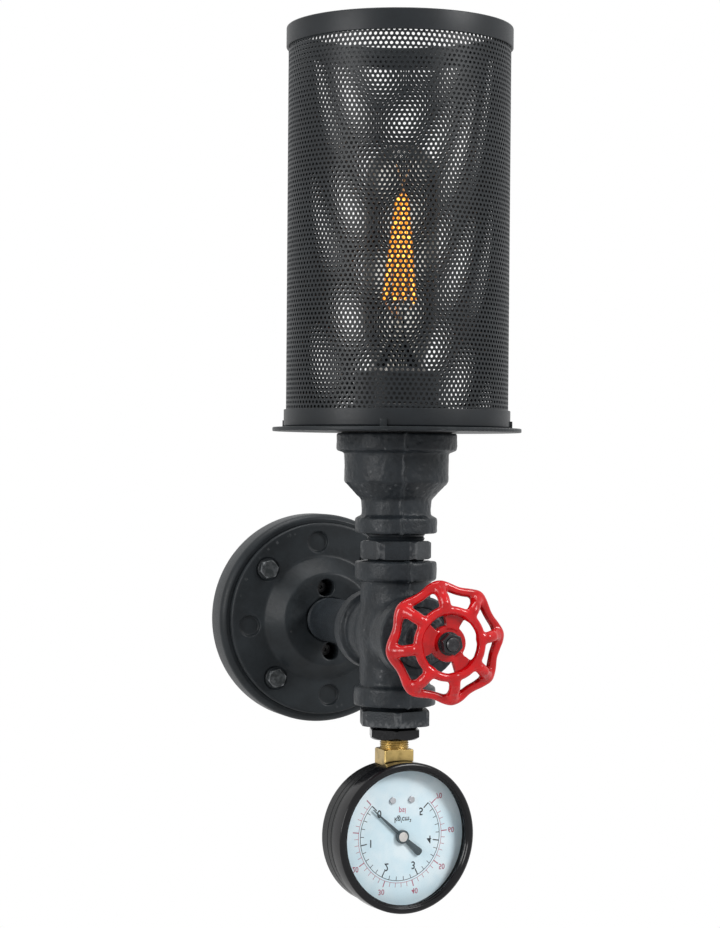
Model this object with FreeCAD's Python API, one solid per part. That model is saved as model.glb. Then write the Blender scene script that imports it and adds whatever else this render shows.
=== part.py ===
"""Industrial pipe wall light: wall flange, pipe cross, valve handwheel, gauge, bulb and mesh shade.

Millimetres. The origin is the centre of the wall flange on the wall plane, +Z is up and
+Y points into the wall, so the lamp stands out along -Y.
"""
import FreeCAD, Part
import math
import os

V = FreeCAD.Vector
ORIGIN = V(0, 0, 0)
X_AXIS = V(1, 0, 0)
Z_AXIS = V(0, 0, 1)
FULL_TURN = 360
TINY = 1e-6
OVERSHOOT = 1.0             # how far a cutting tool runs past the face it opens

# Driving dimensions
STAND_OFF = 123.8           # wall plane to the vertical pipe axis
CROSS_REACH = 32.6          # cross centre to each port face
PIPE_R_HALF_INCH = 10.65    # outside radius of 1/2 in pipe
THREAD_R_THREE_QUARTER = 13.1
PIPE_PITCH = 1.81
PIPE_THREAD_DEPTH = 0.6
BAND_R = 18.5               # banded port of a 3/4 in fitting
BODY_R = 15.85              # branch of a 3/4 in fitting
PORT_R = 13.2               # threaded port, drawn at the crest radius of the male thread
FIT_GAP = 0.1               # between two pieces that are screwed or pushed together
RUN_GAP = 0.05              # radial clearance of a turning shaft
SEAT_GAP = 0.05             # air under a seated head, nut or washer

# Wall flange
CANOPY_R = 51.5
CANOPY_DEPTH = 17.0
CANOPY_WALL = 2.0
CANOPY_SHOULDER_R = 4.0
PLATE_R = 47.2
PLATE_FACE = 20.5           # depth of the plate's bolt face in front of the wall
HUB_FACE = 28.5
BOLT_CIRCLE_R = 37.94
BOLT_TURN = 4.66            # the flange pattern is turned by this much, degrees
WELL_CIRCLE_R = 15.6
WELL_R = 4.2
BRACKET_THICKNESS = 2.0
WALL_HOLE_SPACING = 60.0
WALL_HOLE_R = 2.6

# Shade and lamp
SHADE_R = 50.2
SHADE_WALL = 0.7
SHADE_BOTTOM = 92.8
SHADE_TOP = 272.0
HOOP_R = 51.2
DISC_R = 56.3
DISC_BOTTOM = 90.9
DISC_TOP = 92.7
HOLDER_R = 19.0
HOLDER_TOP = 118.0
BULB_R = 17.0
BULB_TOP = 221.0
BULB_LEAN = 1.2             # the glass sits slightly askew in its cap, degrees

# Handwheel
WHEEL_REACH = 62.6          # vertical axis to the middle plane of the rim
WHEEL_LOBES = 8
WHEEL_TURN = 8.0            # direction of the first spoke, degrees
STEM_R = 4.0

# Gauge
GAUGE_HEIGHT = -91.35
GAUGE_YAW = 8.17
BEZEL_R = 34.0
BEZEL_FRONT = 14.1          # in front of the stem axis
CASE_R = 32.5
NEEDLE_REST = 139.0         # rest direction of the pointer, seen from the front, degrees
PINION_TEETH = 12
SECTOR_TEETH = 80           # on a full circle
GEAR_MODULE = 0.3
SECTOR_DIRECTION = 225.0    # from the pointer axis to the sector pivot, degrees


# Geometry helpers

def corner_arc(before, corner, after, radius):
    """Start, middle and end of the tangent arc that rounds one corner."""
    towards_before = (before - corner).normalize()
    towards_after = (after - corner).normalize()
    half_angle = towards_before.getAngle(towards_after) / 2
    bisector = (towards_before + towards_after).normalize()
    centre = corner + bisector * (radius / math.sin(half_angle))
    trim = radius / math.tan(half_angle)
    return corner + towards_before * trim, centre - bisector * radius, corner + towards_after * trim


def edges_through(stretches):
    """Lines between the stretches and arcs inside them; a stretch is a start, middle and end."""
    edges = []
    for i, (start, middle, end) in enumerate(stretches):
        if start.distanceToPoint(end) > TINY:
            edges.append(Part.Arc(start, middle, end).toShape())
        if i + 1 < len(stretches):
            following = stretches[i + 1][0]
            if end.distanceToPoint(following) > TINY:
                edges.append(Part.LineSegment(end, following).toShape())
    return edges


def closed_outline(corners):
    """Closed wire through (vector, rounding radius) corners."""
    stretches = []
    for i, (corner, radius) in enumerate(corners):
        stretch = (corner, corner, corner)
        if radius:
            stretch = corner_arc(corners[i - 1][0], corner, corners[(i + 1) % len(corners)][0], radius)
        stretches.append(stretch)
    first = stretches[0][0]
    return Part.Wire(edges_through(stretches + [(first, first, first)]))


def with_radius(point):
    """Split a point (u, v) or (u, v, rounding radius)."""
    return point if len(point) == 3 else (point[0], point[1], 0)


def turned(section):
    """Solid turned about Z from its half section of (radius, height[, rounding]) points."""
    corners = []
    for point in section:
        radius, height, rounding = with_radius(point)
        corners.append((V(radius, 0, height), rounding))
    return Part.Face(closed_outline(corners)).revolve(ORIGIN, Z_AXIS, FULL_TURN)


def slab(points, bottom, top):
    """Flat piece with the outline of (x, y[, rounding]) points, from bottom to top."""
    corners = []
    for point in points:
        x, y, rounding = with_radius(point)
        corners.append((V(x, y, bottom), rounding))
    return Part.Face(closed_outline(corners)).extrude(V(0, 0, top - bottom))


def rod(radius, bottom, top, x=0, y=0):
    """Round bar along Z."""
    return Part.makeCylinder(radius, top - bottom, V(x, y, bottom))


def tube(outer, inner, bottom, top):
    """Round tube along Z."""
    return rod(outer, bottom, top).cut(rod(inner, bottom - OVERSHOOT, top + OVERSHOOT))


def block(x_low, x_high, y_low, y_high, z_low, z_high):
    """Rectangular block between two corners."""
    return Part.makeBox(x_high - x_low, y_high - y_low, z_high - z_low, V(x_low, y_low, z_low))


def thread_points(radius, start, end, pitch=PIPE_PITCH, depth=PIPE_THREAD_DEPTH):
    """Half-section points of a thread drawn as plain rings, crest to root to crest."""
    count = max(1, round(abs(end - start) / pitch))
    step = (end - start) / count
    points = [(radius, start)]
    for i in range(count):
        points.append((radius - depth, start + step * (i + 0.5)))
        points.append((radius, start + step * (i + 1)))
    return points


def hexagon(across_flats, bottom, top, turn=0.0, chamfer_bottom=0.0, chamfer_top=0.0):
    """Hexagonal prism with one corner in the direction turn, its corners chamfered."""
    corner_r = across_flats / math.sqrt(3)
    points = [polar(corner_r, turn + 60 * i) for i in range(6)]
    prism = slab(points, bottom, top)
    if not (chamfer_bottom or chamfer_top):
        return prism
    slope = 0.6
    section = [
        (0, bottom),
        (corner_r - chamfer_bottom, bottom),
        (corner_r, bottom + chamfer_bottom * slope),
        (corner_r, top - chamfer_top * slope),
        (corner_r - chamfer_top, top),
        (0, top),
    ]
    if not chamfer_bottom:
        section.pop(2)
    if not chamfer_top:
        section.pop(-3)
    return prism.common(turned(section))


def polar(radius, degrees):
    """Point (x, y) at a radius and a direction."""
    return radius * math.cos(math.radians(degrees)), radius * math.sin(math.radians(degrees))


def sector_ring(outer, inner, bottom, top, first, last):
    """Piece of a flat ring between two directions, degrees."""
    section = Part.makePolygon([
        V(inner, 0, bottom), V(outer, 0, bottom), V(outer, 0, top), V(inner, 0, top), V(inner, 0, bottom),
    ])
    ring = Part.Face(section).revolve(ORIGIN, Z_AXIS, last - first)
    return placed(ring, turn_z=first)


def placed(shape, base=ORIGIN, turn_z=0.0):
    """Copy turned about Z and then moved."""
    placement = FreeCAD.Placement(base, FreeCAD.Rotation(Z_AXIS, turn_z))
    return shape.transformed(placement.toMatrix())


def facing_front(shape, depth=0.0):
    """Turn a piece built along +Z so that it points out of the wall, from this depth on."""
    placement = FreeCAD.Placement(V(0, -depth, 0), FreeCAD.Rotation(X_AXIS, 90))
    return shape.transformed(placement.toMatrix())


def on_pipe_axis(shape, turn_z=0.0):
    """Move a piece built about Z onto the vertical pipe axis."""
    return placed(shape, V(0, -STAND_OFF, 0), turn_z)


def in_gauge(shape):
    """Move a piece built in the gauge's own frame, dial facing +Z and stem up +Y, into place."""
    upright = FreeCAD.Rotation(X_AXIS, 90)
    yaw = FreeCAD.Rotation(Z_AXIS, GAUGE_YAW)
    placement = FreeCAD.Placement(V(0, -STAND_OFF, GAUGE_HEIGHT), yaw.multiply(upright))
    return shape.transformed(placement.toMatrix())


def upright(shape):
    """Turn a piece built about Z so that it stands along +Y in the gauge's own frame."""
    return shape.transformed(FreeCAD.Placement(ORIGIN, FreeCAD.Rotation(X_AXIS, -90)).toMatrix())


def cut_all(shape, tools):
    """Cut several tools out of a shape."""
    for tool in tools:
        shape = shape.cut(tool)
    return shape


def fused(shapes):
    """One solid from overlapping shapes."""
    return shapes[0].fuse(shapes[1:]).removeSplitter()


def cord(points, bend_r, radius):
    """Round wire of straight runs joined by tangent arcs."""
    vectors = [V(*point) for point in points]
    stretches = [(vectors[0],) * 3]
    for i in range(1, len(vectors) - 1):
        stretches.append(corner_arc(vectors[i - 1], vectors[i], vectors[i + 1], bend_r))
    stretches.append((vectors[-1],) * 3)
    path = Part.Wire(edges_through(stretches))
    start = Part.Wire(Part.makeCircle(radius, vectors[0], vectors[1] - vectors[0]))
    return path.makePipeShell([start], True, False)


# Wall side. These pieces are built with Z as the depth in front of the wall.

BOLT_ANGLES = [45 + 90 * i + BOLT_TURN for i in range(4)]
RECESS_ANGLES = [90 * i + BOLT_TURN for i in range(4)]
WELL_ANGLES = [90 + BOLT_TURN, 270 + BOLT_TURN]
PLATE_BACK = CANOPY_DEPTH + FIT_GAP / 2
HUB_BACK = 14.0
HUB_BACK_R = 24.0
WELL_FLOOR = 16.0
CANOPY_SCREW_R = 2.0
BOLT_R = 2.5
BLOCK_X = (14.0, 36.0)      # terminal block, beside the strap
BLOCK_Y = (-8.0, 8.0)
BLOCK_TOP = 12.5
WAY_DEPTH = 7.0             # height of the wire ways above the wall
WAY_PLACES = (-5.0, 0.0, 5.0)
EARTH_SCREW_R = 2.0
EARTH_SCREW_Y = 22.6


def wall_bracket():
    """Steel strap with a wing that carries the terminal block."""
    half_length = 42.0
    half_width = 10.0
    strap_corner_r = 4.0
    wing_corner_r = 3.0
    wing_end = BLOCK_X[1] + 2
    wing_half = BLOCK_Y[1] + 1
    cable_hole_r = 6.0
    strap = slab([
        (-half_width, -half_length, strap_corner_r), (half_width, -half_length, strap_corner_r),
        (half_width, half_length, strap_corner_r), (-half_width, half_length, strap_corner_r),
    ], 0, BRACKET_THICKNESS)
    wing = slab([
        (0, -wing_half), (wing_end, -wing_half, wing_corner_r),
        (wing_end, wing_half, wing_corner_r), (0, wing_half),
    ], 0, BRACKET_THICKNESS)
    places = [(cable_hole_r, 0, 0), (EARTH_SCREW_R + FIT_GAP, 0, EARTH_SCREW_Y)]
    for side in (-1, 1):
        places.append((WALL_HOLE_R, 0, side * WALL_HOLE_SPACING / 2))
    for angle in WELL_ANGLES:
        places.append((CANOPY_SCREW_R + FIT_GAP, *polar(WELL_CIRCLE_R, angle)))
    holes = [rod(radius, -OVERSHOOT, BRACKET_THICKNESS + OVERSHOOT, x, y) for radius, x, y in places]
    return facing_front(cut_all(fused([strap, wing]), holes))


def canopy_shell():
    """Round cup, open to the wall, with a rolled shoulder and a seat for the front plate."""
    seat_inner = 30.0
    seat_back = CANOPY_DEPTH - 3.0
    inner_r = CANOPY_R - CANOPY_WALL
    inner_shoulder_r = CANOPY_SHOULDER_R - CANOPY_WALL
    shell = turned([
        (inner_r, 0),
        (CANOPY_R, 0),
        (CANOPY_R, CANOPY_DEPTH, CANOPY_SHOULDER_R),
        (seat_inner, CANOPY_DEPTH),
        (seat_inner, seat_back),
        (inner_r, seat_back, inner_shoulder_r),
    ])
    holes = []
    for angle in BOLT_ANGLES:
        x, y = polar(BOLT_CIRCLE_R, angle)
        holes.append(rod(BOLT_R + FIT_GAP, seat_back - OVERSHOOT, CANOPY_DEPTH + OVERSHOOT, x, y))
    return facing_front(cut_all(shell, holes))


def flange_plate():
    """Cast front plate with a raised hub, four blind recesses and two deep screw wells."""
    bore_r = PIPE_R_HALF_INCH + FIT_GAP
    hub_foot_r = 30.6
    hub_edge_r = 22.5
    dish_r = 19.5
    dish_floor_r = bore_r + 1.5
    dish_floor = HUB_FACE - 1.0
    edge_r = 0.7
    foot_fillet = 3.0
    shoulder_fillet = 2.5
    plate = turned([
        (bore_r, HUB_BACK),
        (HUB_BACK_R, HUB_BACK, edge_r),
        (HUB_BACK_R, PLATE_BACK),
        (PLATE_R, PLATE_BACK),
        (PLATE_R, PLATE_FACE, edge_r),
        (hub_foot_r, PLATE_FACE, foot_fillet),
        (hub_edge_r, HUB_FACE, shoulder_fillet),
        (dish_r, HUB_FACE),
        (dish_floor_r, dish_floor),
        (bore_r, dish_floor),
    ])
    recess_r = 5.0
    recess_floor = PLATE_FACE - 1.5
    bolt_hole_r = BOLT_R + 2 * FIT_GAP
    screw_hole_r = CANOPY_SCREW_R + 2 * FIT_GAP
    face_clear = PLATE_FACE + OVERSHOOT
    tools = []
    for angle in RECESS_ANGLES:
        tools.append(rod(recess_r, recess_floor, face_clear, *polar(BOLT_CIRCLE_R, angle)))
    for angle in BOLT_ANGLES:
        tools.append(rod(bolt_hole_r, PLATE_BACK - OVERSHOOT, face_clear, *polar(BOLT_CIRCLE_R, angle)))
    for angle in WELL_ANGLES:
        x, y = polar(WELL_CIRCLE_R, angle)
        tools.append(rod(WELL_R, WELL_FLOOR, HUB_FACE + OVERSHOOT, x, y))
        tools.append(rod(screw_hole_r, HUB_BACK - OVERSHOOT, WELL_FLOOR + OVERSHOOT, x, y))
    return facing_front(cut_all(plate, tools))


def flange_bolts():
    """Four hex bolts through the plate into the shell."""
    head_flats = 8.0
    head_top = PLATE_FACE + 3.5
    head_chamfer = 0.7
    head_turn = 12.0
    shank_end = 14.2
    seat = PLATE_FACE + SEAT_GAP
    bolts = []
    for angle in BOLT_ANGLES:
        head = hexagon(head_flats, seat, head_top, head_turn, 0, head_chamfer)
        bolt = fused([head, rod(BOLT_R, shank_end, seat + OVERSHOOT)])
        bolts.append(placed(bolt, V(*polar(BOLT_CIRCLE_R, angle), 0)))
    return facing_front(Part.makeCompound(bolts))


def canopy_screws():
    """Two screws at the bottom of the wells, into the wall bracket."""
    head_r = 3.5
    head_rounding = 0.8
    socket_r = 1.0
    socket_depth = 1.4
    tip = 0.4
    seat = WELL_FLOOR + SEAT_GAP
    head_top = seat + 2.6
    screws = []
    for angle in WELL_ANGLES:
        screw = turned([
            (0, tip), (CANOPY_SCREW_R, tip), (CANOPY_SCREW_R, seat), (head_r, seat),
            (head_r, head_top, head_rounding), (socket_r, head_top),
            (socket_r, head_top - socket_depth), (0, head_top - socket_depth),
        ])
        screws.append(placed(screw, V(*polar(WELL_CIRCLE_R, angle), 0)))
    return facing_front(Part.makeCompound(screws))


def terminal_block():
    """Insulating block with three wire ways."""
    bottom = BRACKET_THICKNESS + FIT_GAP
    left, right = BLOCK_X
    body = block(left, right, BLOCK_Y[0], BLOCK_Y[1], bottom, BLOCK_TOP)
    way_r = 1.6
    screw_access_r = 1.5
    screw_inset = 5.0
    way_length = right - left + 2 * OVERSHOOT
    tools = []
    for y in WAY_PLACES:
        tools.append(Part.makeCylinder(way_r, way_length, V(left - OVERSHOOT, y, WAY_DEPTH), X_AXIS))
        for x in (left + screw_inset, right - screw_inset):
            tools.append(rod(screw_access_r, WAY_DEPTH, BLOCK_TOP + OVERSHOOT, x, y))
    return facing_front(cut_all(body, tools))


def earth_screw():
    """Pan-head screw in the bracket for the earth wire."""
    seat = BRACKET_THICKNESS + SEAT_GAP
    tip = 0.2
    head_r = 3.6
    head_top = seat + 2.4
    head_rounding = 0.8
    screw = turned([
        (0, tip), (EARTH_SCREW_R, tip), (EARTH_SCREW_R, seat), (head_r, seat),
        (head_r, head_top, head_rounding), (0, head_top),
    ])
    return facing_front(placed(screw, V(0, EARTH_SCREW_Y, 0)))


# Wires. Points are in the part's own frame.

WIRE_R = 1.1
WIRE_BEND_R = 5.0
WIRE_START = BLOCK_X[0] + 3 # inside the terminal block
WIRE_SPREAD = 2.4           # of the two lamp wires, from the middle of the pipe
HOLDER_WIRE_END = 79.6


def holder_wire(side, way_z):
    """Wire from one way of the terminal block through the pipe and up to the lamp holder."""
    offset = WIRE_SPREAD * side
    pipe_mouth_z = way_z * 0.9
    cross_z = way_z * 0.3
    end_x = offset * 0.6
    return cord([
        (WIRE_START, -WAY_DEPTH, way_z),
        (offset, -WAY_DEPTH, pipe_mouth_z),
        (offset, -STAND_OFF + offset, cross_z),
        (end_x, -STAND_OFF + offset, HOLDER_WIRE_END),
    ], WIRE_BEND_R, WIRE_R)


def live_wire():
    """Live wire to the lamp holder."""
    return holder_wire(-1, WAY_PLACES[0])


def neutral_wire():
    """Neutral wire to the lamp holder."""
    return holder_wire(1, WAY_PLACES[1])


def earth_wire():
    """Earth wire from the terminal block to the screw in the bracket."""
    bend_x = 7.5
    bend_r = 3.5
    beside_screw = 4.9
    end_depth = WAY_DEPTH - 2.6
    return cord([
        (WIRE_START, -WAY_DEPTH, WAY_PLACES[2]),
        (bend_x, -WAY_DEPTH, WAY_PLACES[2]),
        (beside_screw, -end_depth, EARTH_SCREW_Y - 3),
        (beside_screw, -end_depth, EARTH_SCREW_Y + 2),
    ], bend_r, WIRE_R)


# Pipework

def pipe_nipple():
    """1/2 in pipe from the wall flange into the cross, threaded at both ends."""
    bore_r = 8.0
    wall_end = HUB_BACK + 0.2
    cross_end = STAND_OFF - CROSS_REACH + 12.0
    front_thread_end = HUB_FACE + 2.6
    back_thread_start = STAND_OFF - CROSS_REACH - 4.5
    section = [(bore_r, wall_end)]
    section += thread_points(PIPE_R_HALF_INCH, wall_end, front_thread_end)
    section += thread_points(PIPE_R_HALF_INCH, back_thread_start, cross_end)
    section.append((bore_r, cross_end))
    return facing_front(turned(section))


def back_bushing():
    """Flush bushing between the cross's back port and the pipe."""
    length = 12.5
    inner_r = PIPE_R_HALF_INCH + FIT_GAP
    section = [(inner_r, 0)]
    section += thread_points(THREAD_R_THREE_QUARTER, 0, length)
    section.append((inner_r, length))
    return facing_front(turned(section), STAND_OFF - CROSS_REACH + 0.3)


def cross_branch(length):
    """Outside of one straight run of the cross, with a rounded band at each end."""
    band = length - 8.2
    band_foot = band - 1.0
    edge_r = 1.0
    band_r = 1.2
    return turned([
        (0, -length),
        (BAND_R, -length, edge_r),
        (BAND_R, -band, band_r),
        (BODY_R, -band_foot, edge_r),
        (BODY_R, band_foot, edge_r),
        (BAND_R, band, band_r),
        (BAND_R, length, edge_r),
        (0, length),
    ])


def cross_fitting():
    """Four-way fitting: ports up, down, to the wall and to the front."""
    port_depth = 14.5
    throat_r = 11.6
    swell_r = 17.3
    outside = fused([
        cross_branch(CROSS_REACH),
        facing_front(cross_branch(CROSS_REACH)),
        Part.makeSphere(swell_r),
    ])
    throat = rod(throat_r, -CROSS_REACH, CROSS_REACH)
    tools = [throat, facing_front(throat)]
    for low in (CROSS_REACH - port_depth, -CROSS_REACH - OVERSHOOT):
        port = rod(PORT_R, low, low + port_depth + OVERSHOOT)
        tools += [port, facing_front(port)]
    return on_pipe_axis(cut_all(outside, tools))


FACING_TURN = 42.8          # a flat of the hex nipple faces forward and slightly left, degrees


def hex_nipple():
    """3/4 in hex nipple between the cross and the reducing coupling."""
    bore_r = 10.0
    hex_flats = 27.7
    hex_low = 33.5
    hex_high = 41.7
    hex_chamfer = 1.2
    low_end = 19.0
    high_end = 57.5
    section = [(bore_r, low_end)]
    section += thread_points(THREAD_R_THREE_QUARTER, low_end, high_end)
    section.append((bore_r, high_end))
    ring = hexagon(hex_flats, hex_low, hex_high, FACING_TURN, hex_chamfer, hex_chamfer)
    return on_pipe_axis(fused([turned(section), ring.cut(rod(bore_r, 0, high_end))]))


COUPLING_CUP_R = 19.4
COUPLING_LEDGE = 72.0


def reducing_coupling():
    """1-1/4 x 3/4 in coupling, a cup that the lamp holder stands in."""
    low = 45.1
    high = 90.3
    port_end = 59.0
    throat_r = 12.0
    small_band_top = 52.1
    neck_low, neck_high = 53.4, 60.2
    neck_r = 15.75
    shoulder = 68.4
    big_body_r = 23.6
    big_body_top = 81.3
    big_band_low = 82.7
    big_band_r = 27.2
    edge_r = 1.2
    foot_r = 0.8
    neck_fillet = 2.5
    shoulder_fillet = 3.0
    return on_pipe_axis(turned([
        (PORT_R, low),
        (BAND_R, low, edge_r),
        (BAND_R, small_band_top, edge_r),
        (neck_r, neck_low, foot_r),
        (neck_r, neck_high, neck_fillet),
        (big_body_r, shoulder, shoulder_fillet),
        (big_body_r, big_body_top, edge_r),
        (big_band_r, big_band_low, foot_r),
        (big_band_r, high, edge_r),
        (COUPLING_CUP_R, high),
        (COUPLING_CUP_R, COUPLING_LEDGE),
        (throat_r, COUPLING_LEDGE),
        (throat_r, port_end),
        (PORT_R, port_end),
    ]))


# Lamp holder and bulb

FIXING_R = 5.0              # M10 threaded tube
FIXING_DISC_TOP = 74.6
HOLDER_BOTTOM = FIXING_DISC_TOP + FIT_GAP
HOLDER_FLOOR = 78.0
INSERT_TOP = 92.0


def fixing_disc():
    """Steel disc on the coupling's ledge."""
    outer = COUPLING_CUP_R - FIT_GAP * 2
    return on_pipe_axis(tube(outer, FIXING_R + FIT_GAP, COUPLING_LEDGE + SEAT_GAP, FIXING_DISC_TOP))


def fixing_tube():
    """Threaded tube that ties the lamp holder down to the disc; the wires run up inside it."""
    low = 65.5
    high = HOLDER_FLOOR + 1.0
    bore_r = 4.0
    pitch = 1.0
    depth = 0.4
    section = [(bore_r, low)]
    section += thread_points(FIXING_R, low, high, pitch, depth)
    section.append((bore_r, high))
    return on_pipe_axis(turned(section))


def tube_nut():
    """Nut under the disc."""
    flats = 14.0
    high = COUPLING_LEDGE - FIT_GAP
    low = high - 3.9
    chamfer = 0.6
    nut = hexagon(flats, low, high, 0, chamfer, 0)
    return on_pipe_axis(nut.cut(rod(FIXING_R + FIT_GAP, low - OVERSHOOT, high + OVERSHOOT)))


def plate_gasket():
    """Thin dark ring between the coupling and the shade plate."""
    outer = 25.0
    inner = 19.8
    low = 90.35
    return on_pipe_axis(tube(outer, inner, low, DISC_BOTTOM - SEAT_GAP))


TAB_TURN = 243.5            # direction of the first tab, degrees


def shade_plate():
    """Round plate under the shade with four small tabs that hold the bottom hoop."""
    hole_r = HOLDER_R + FIT_GAP * 2
    edge_r = 0.5
    disc = turned([
        (hole_r, DISC_BOTTOM),
        (DISC_R, DISC_BOTTOM, edge_r),
        (DISC_R, DISC_TOP, edge_r),
        (hole_r, DISC_TOP),
    ])
    tab_inner = HOOP_R + FIT_GAP
    tab_outer = tab_inner + 0.9
    tab_half_angle = 1.6
    tab_low = DISC_BOTTOM + edge_r
    tab_top = DISC_TOP + 3.2
    tabs = []
    for i in range(4):
        middle = TAB_TURN + 90 * i
        first = middle - tab_half_angle
        last = middle + tab_half_angle
        tabs.append(sector_ring(tab_outer, tab_inner, tab_low, tab_top, first, last))
    return on_pipe_axis(fused([disc] + tabs))


def shade_mesh():
    """Shade tube, open at the top; the perforation is left out of this solid."""
    return on_pipe_axis(tube(SHADE_R, SHADE_R - SHADE_WALL, SHADE_BOTTOM, SHADE_TOP))


def shade_top_rim():
    """Plain hoop at the mouth of the shade, folded in over the tube's edge."""
    inner = SHADE_R + SEAT_GAP
    lip = SHADE_R - SHADE_WALL - 0.3
    low = 263.6
    fold = SHADE_TOP + SEAT_GAP
    top = fold + 0.8
    fold_r = 0.75
    return on_pipe_axis(turned([
        (inner, low), (HOOP_R, low), (HOOP_R, top, fold_r), (lip, top), (lip, fold), (inner, fold),
    ]))


def shade_bottom_band():
    """Plain hoop at the foot of the shade with a rounded lower edge."""
    inner = SHADE_R + SEAT_GAP
    top = 100.7
    edge_r = 0.8
    return on_pipe_axis(turned([
        (inner, SHADE_BOTTOM), (HOOP_R, SHADE_BOTTOM, edge_r), (HOOP_R, top), (inner, top),
    ]))


def holder_body():
    """Black sleeve of the lamp holder with its floor on the fixing disc."""
    inner = 16.6
    mouth = 14.7
    lip = HOLDER_TOP - 2.0
    edge_r = 1.2
    hole_r = FIXING_R + FIT_GAP
    return on_pipe_axis(turned([
        (hole_r, HOLDER_BOTTOM),
        (HOLDER_R, HOLDER_BOTTOM, edge_r),
        (HOLDER_R, HOLDER_TOP, edge_r),
        (mouth, HOLDER_TOP),
        (mouth, lip),
        (inner, lip),
        (inner, HOLDER_FLOOR),
        (hole_r, HOLDER_FLOOR),
    ]))


def holder_ring():
    """Ring screwed down on the holder so that it clamps the shade plate."""
    inner = HOLDER_R + FIT_GAP
    outer = 23.4
    low = DISC_TOP + FIT_GAP
    high = 103.4
    edge_r = 1.2
    return on_pipe_axis(turned([(inner, low), (outer, low), (outer, high, edge_r), (inner, high)]))


def holder_insert():
    """Ceramic base inside the holder that carries the contacts."""
    radius = 16.4
    low = 81.2
    return on_pipe_axis(rod(radius, low, INSERT_TOP))


def screw_shell():
    """Brass screw shell of the holder."""
    low = INSERT_TOP + FIT_GAP
    high = HOLDER_TOP - 2.2
    inner = 13.25
    groove_r = inner + 0.45
    outer = inner + 0.9
    count = 6
    step = (high - low) / count
    section = [(outer, low), (outer, high), (inner, high)]
    for i in range(count):
        top = high - i * step
        section.append((groove_r, top - step / 2))
        section.append((inner, top - step))
    return on_pipe_axis(turned(section))


def centre_contact():
    """Sprung tongue under the bulb."""
    strip_start, strip_end = -8.0, 2.0
    strip_half = 2.5
    strip_top = INSERT_TOP + 0.5
    button_r = 2.4
    button_top = INSERT_TOP + 1.1
    low = INSERT_TOP + SEAT_GAP
    strip = block(strip_start, strip_end, -strip_half, strip_half, low, strip_top)
    return on_pipe_axis(fused([strip, rod(button_r, low, button_top)]))


CAP_LOW = 97.5
CAP_HIGH = 120.0
CAP_R = 13.05               # E27 thread
NECK_R = 11.6
INSULATOR_LOW = CAP_LOW - 3.2


def bulb_cap():
    """Screw cap of the bulb."""
    pitch = 3.62
    depth = 0.9
    root_r = CAP_R - depth
    thread_low = CAP_LOW + 1.0
    thread_top = CAP_HIGH - 4.5
    collar_low = CAP_HIGH - 3.5
    collar_r = CAP_R - 0.6
    rim_r = CAP_R - 0.2
    neck_hole_r = NECK_R + 0.4
    section = [(root_r, CAP_LOW)]
    section += thread_points(CAP_R, thread_low, thread_top, pitch, depth)
    section += [(collar_r, collar_low), (rim_r, CAP_HIGH), (neck_hole_r, CAP_HIGH), (neck_hole_r, CAP_LOW)]
    return on_pipe_axis(turned(section))


def bulb_insulator():
    """Black glass cone at the foot of the cap."""
    foot_r = 6.0
    top_r = CAP_R - 1.4
    high = CAP_LOW - FIT_GAP
    return on_pipe_axis(turned([(0, INSULATOR_LOW), (foot_r, INSULATOR_LOW), (top_r, high), (0, high)]))


def bulb_contact():
    """Solder contact at the foot of the bulb."""
    low = INSERT_TOP + 1.2
    high = INSULATOR_LOW - SEAT_GAP
    foot_r = 3.6
    top_r = 4.6
    edge_r = 0.4
    return on_pipe_axis(turned([(0, low), (foot_r, low, edge_r), (top_r, high), (0, high)]))


GLASS_LEAN_DIRECTION = -19.0


def leaning(shape):
    """Tilt the glass and what it holds sideways about the rim of the cap."""
    direction = math.radians(GLASS_LEAN_DIRECTION)
    sideways = V(-math.sin(direction), math.cos(direction), 0)
    placement = FreeCAD.Placement(ORIGIN, FreeCAD.Rotation(sideways, BULB_LEAN), V(0, 0, CAP_HIGH))
    return on_pipe_axis(shape.transformed(placement.toMatrix()))


def glass_solid(inset):
    """Solid inside the bulb's outside surface moved in by this much."""
    foot_z = CAP_HIGH - 6.5
    neck_top_z = CAP_HIGH + 1.0
    neck_fillet = 6.0
    shoulder_z = 140.0
    shoulder_fillet = 14.0
    dome_centre = BULB_TOP - BULB_R
    radius = BULB_R - inset
    slant = radius * math.sqrt(0.5)
    foot = V(NECK_R - inset, 0, foot_z)
    neck = V(NECK_R - inset, 0, neck_top_z)
    shoulder = V(radius, 0, shoulder_z)
    dome_start = V(radius, 0, dome_centre)
    dome_middle = V(slant, 0, dome_centre + slant)
    dome_end = V(0, 0, dome_centre + radius)
    stretches = [
        (foot,) * 3,
        corner_arc(foot, neck, shoulder, neck_fillet),
        corner_arc(neck, shoulder, dome_start, shoulder_fillet),
        (dome_start, dome_middle, dome_end),
        (V(0, 0, foot_z),) * 3,
        (foot,) * 3,
    ]
    face = Part.Face(Part.Wire(edges_through(stretches)))
    return face.revolve(ORIGIN, Z_AXIS, FULL_TURN)


def bulb_glass():
    """Clear tubular glass with a domed top."""
    wall = 0.9
    return leaning(glass_solid(0).cut(glass_solid(wall)))


STEM_TOP = 146.0
STEM_ROD_R = 2.6


def bulb_stem():
    """Glass stem: a flare in the neck and a thin rod that carries the wires."""
    flare_r = NECK_R - 1.1
    flare_low = CAP_HIGH - 2.0
    flare_high = CAP_HIGH - 0.8
    taper_r = 4.2
    taper_z = CAP_HIGH + 10.0
    taper_fillet = 4.0
    rod_low = STEM_TOP - 8.0
    rod_fillet = 3.0
    tip_r = 0.8
    return leaning(turned([
        (0, flare_low), (flare_r, flare_low), (flare_r, flare_high), (taper_r, taper_z, taper_fillet),
        (STEM_ROD_R, rod_low, rod_fillet), (STEM_ROD_R, STEM_TOP, tip_r), (0, STEM_TOP),
    ]))


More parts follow.
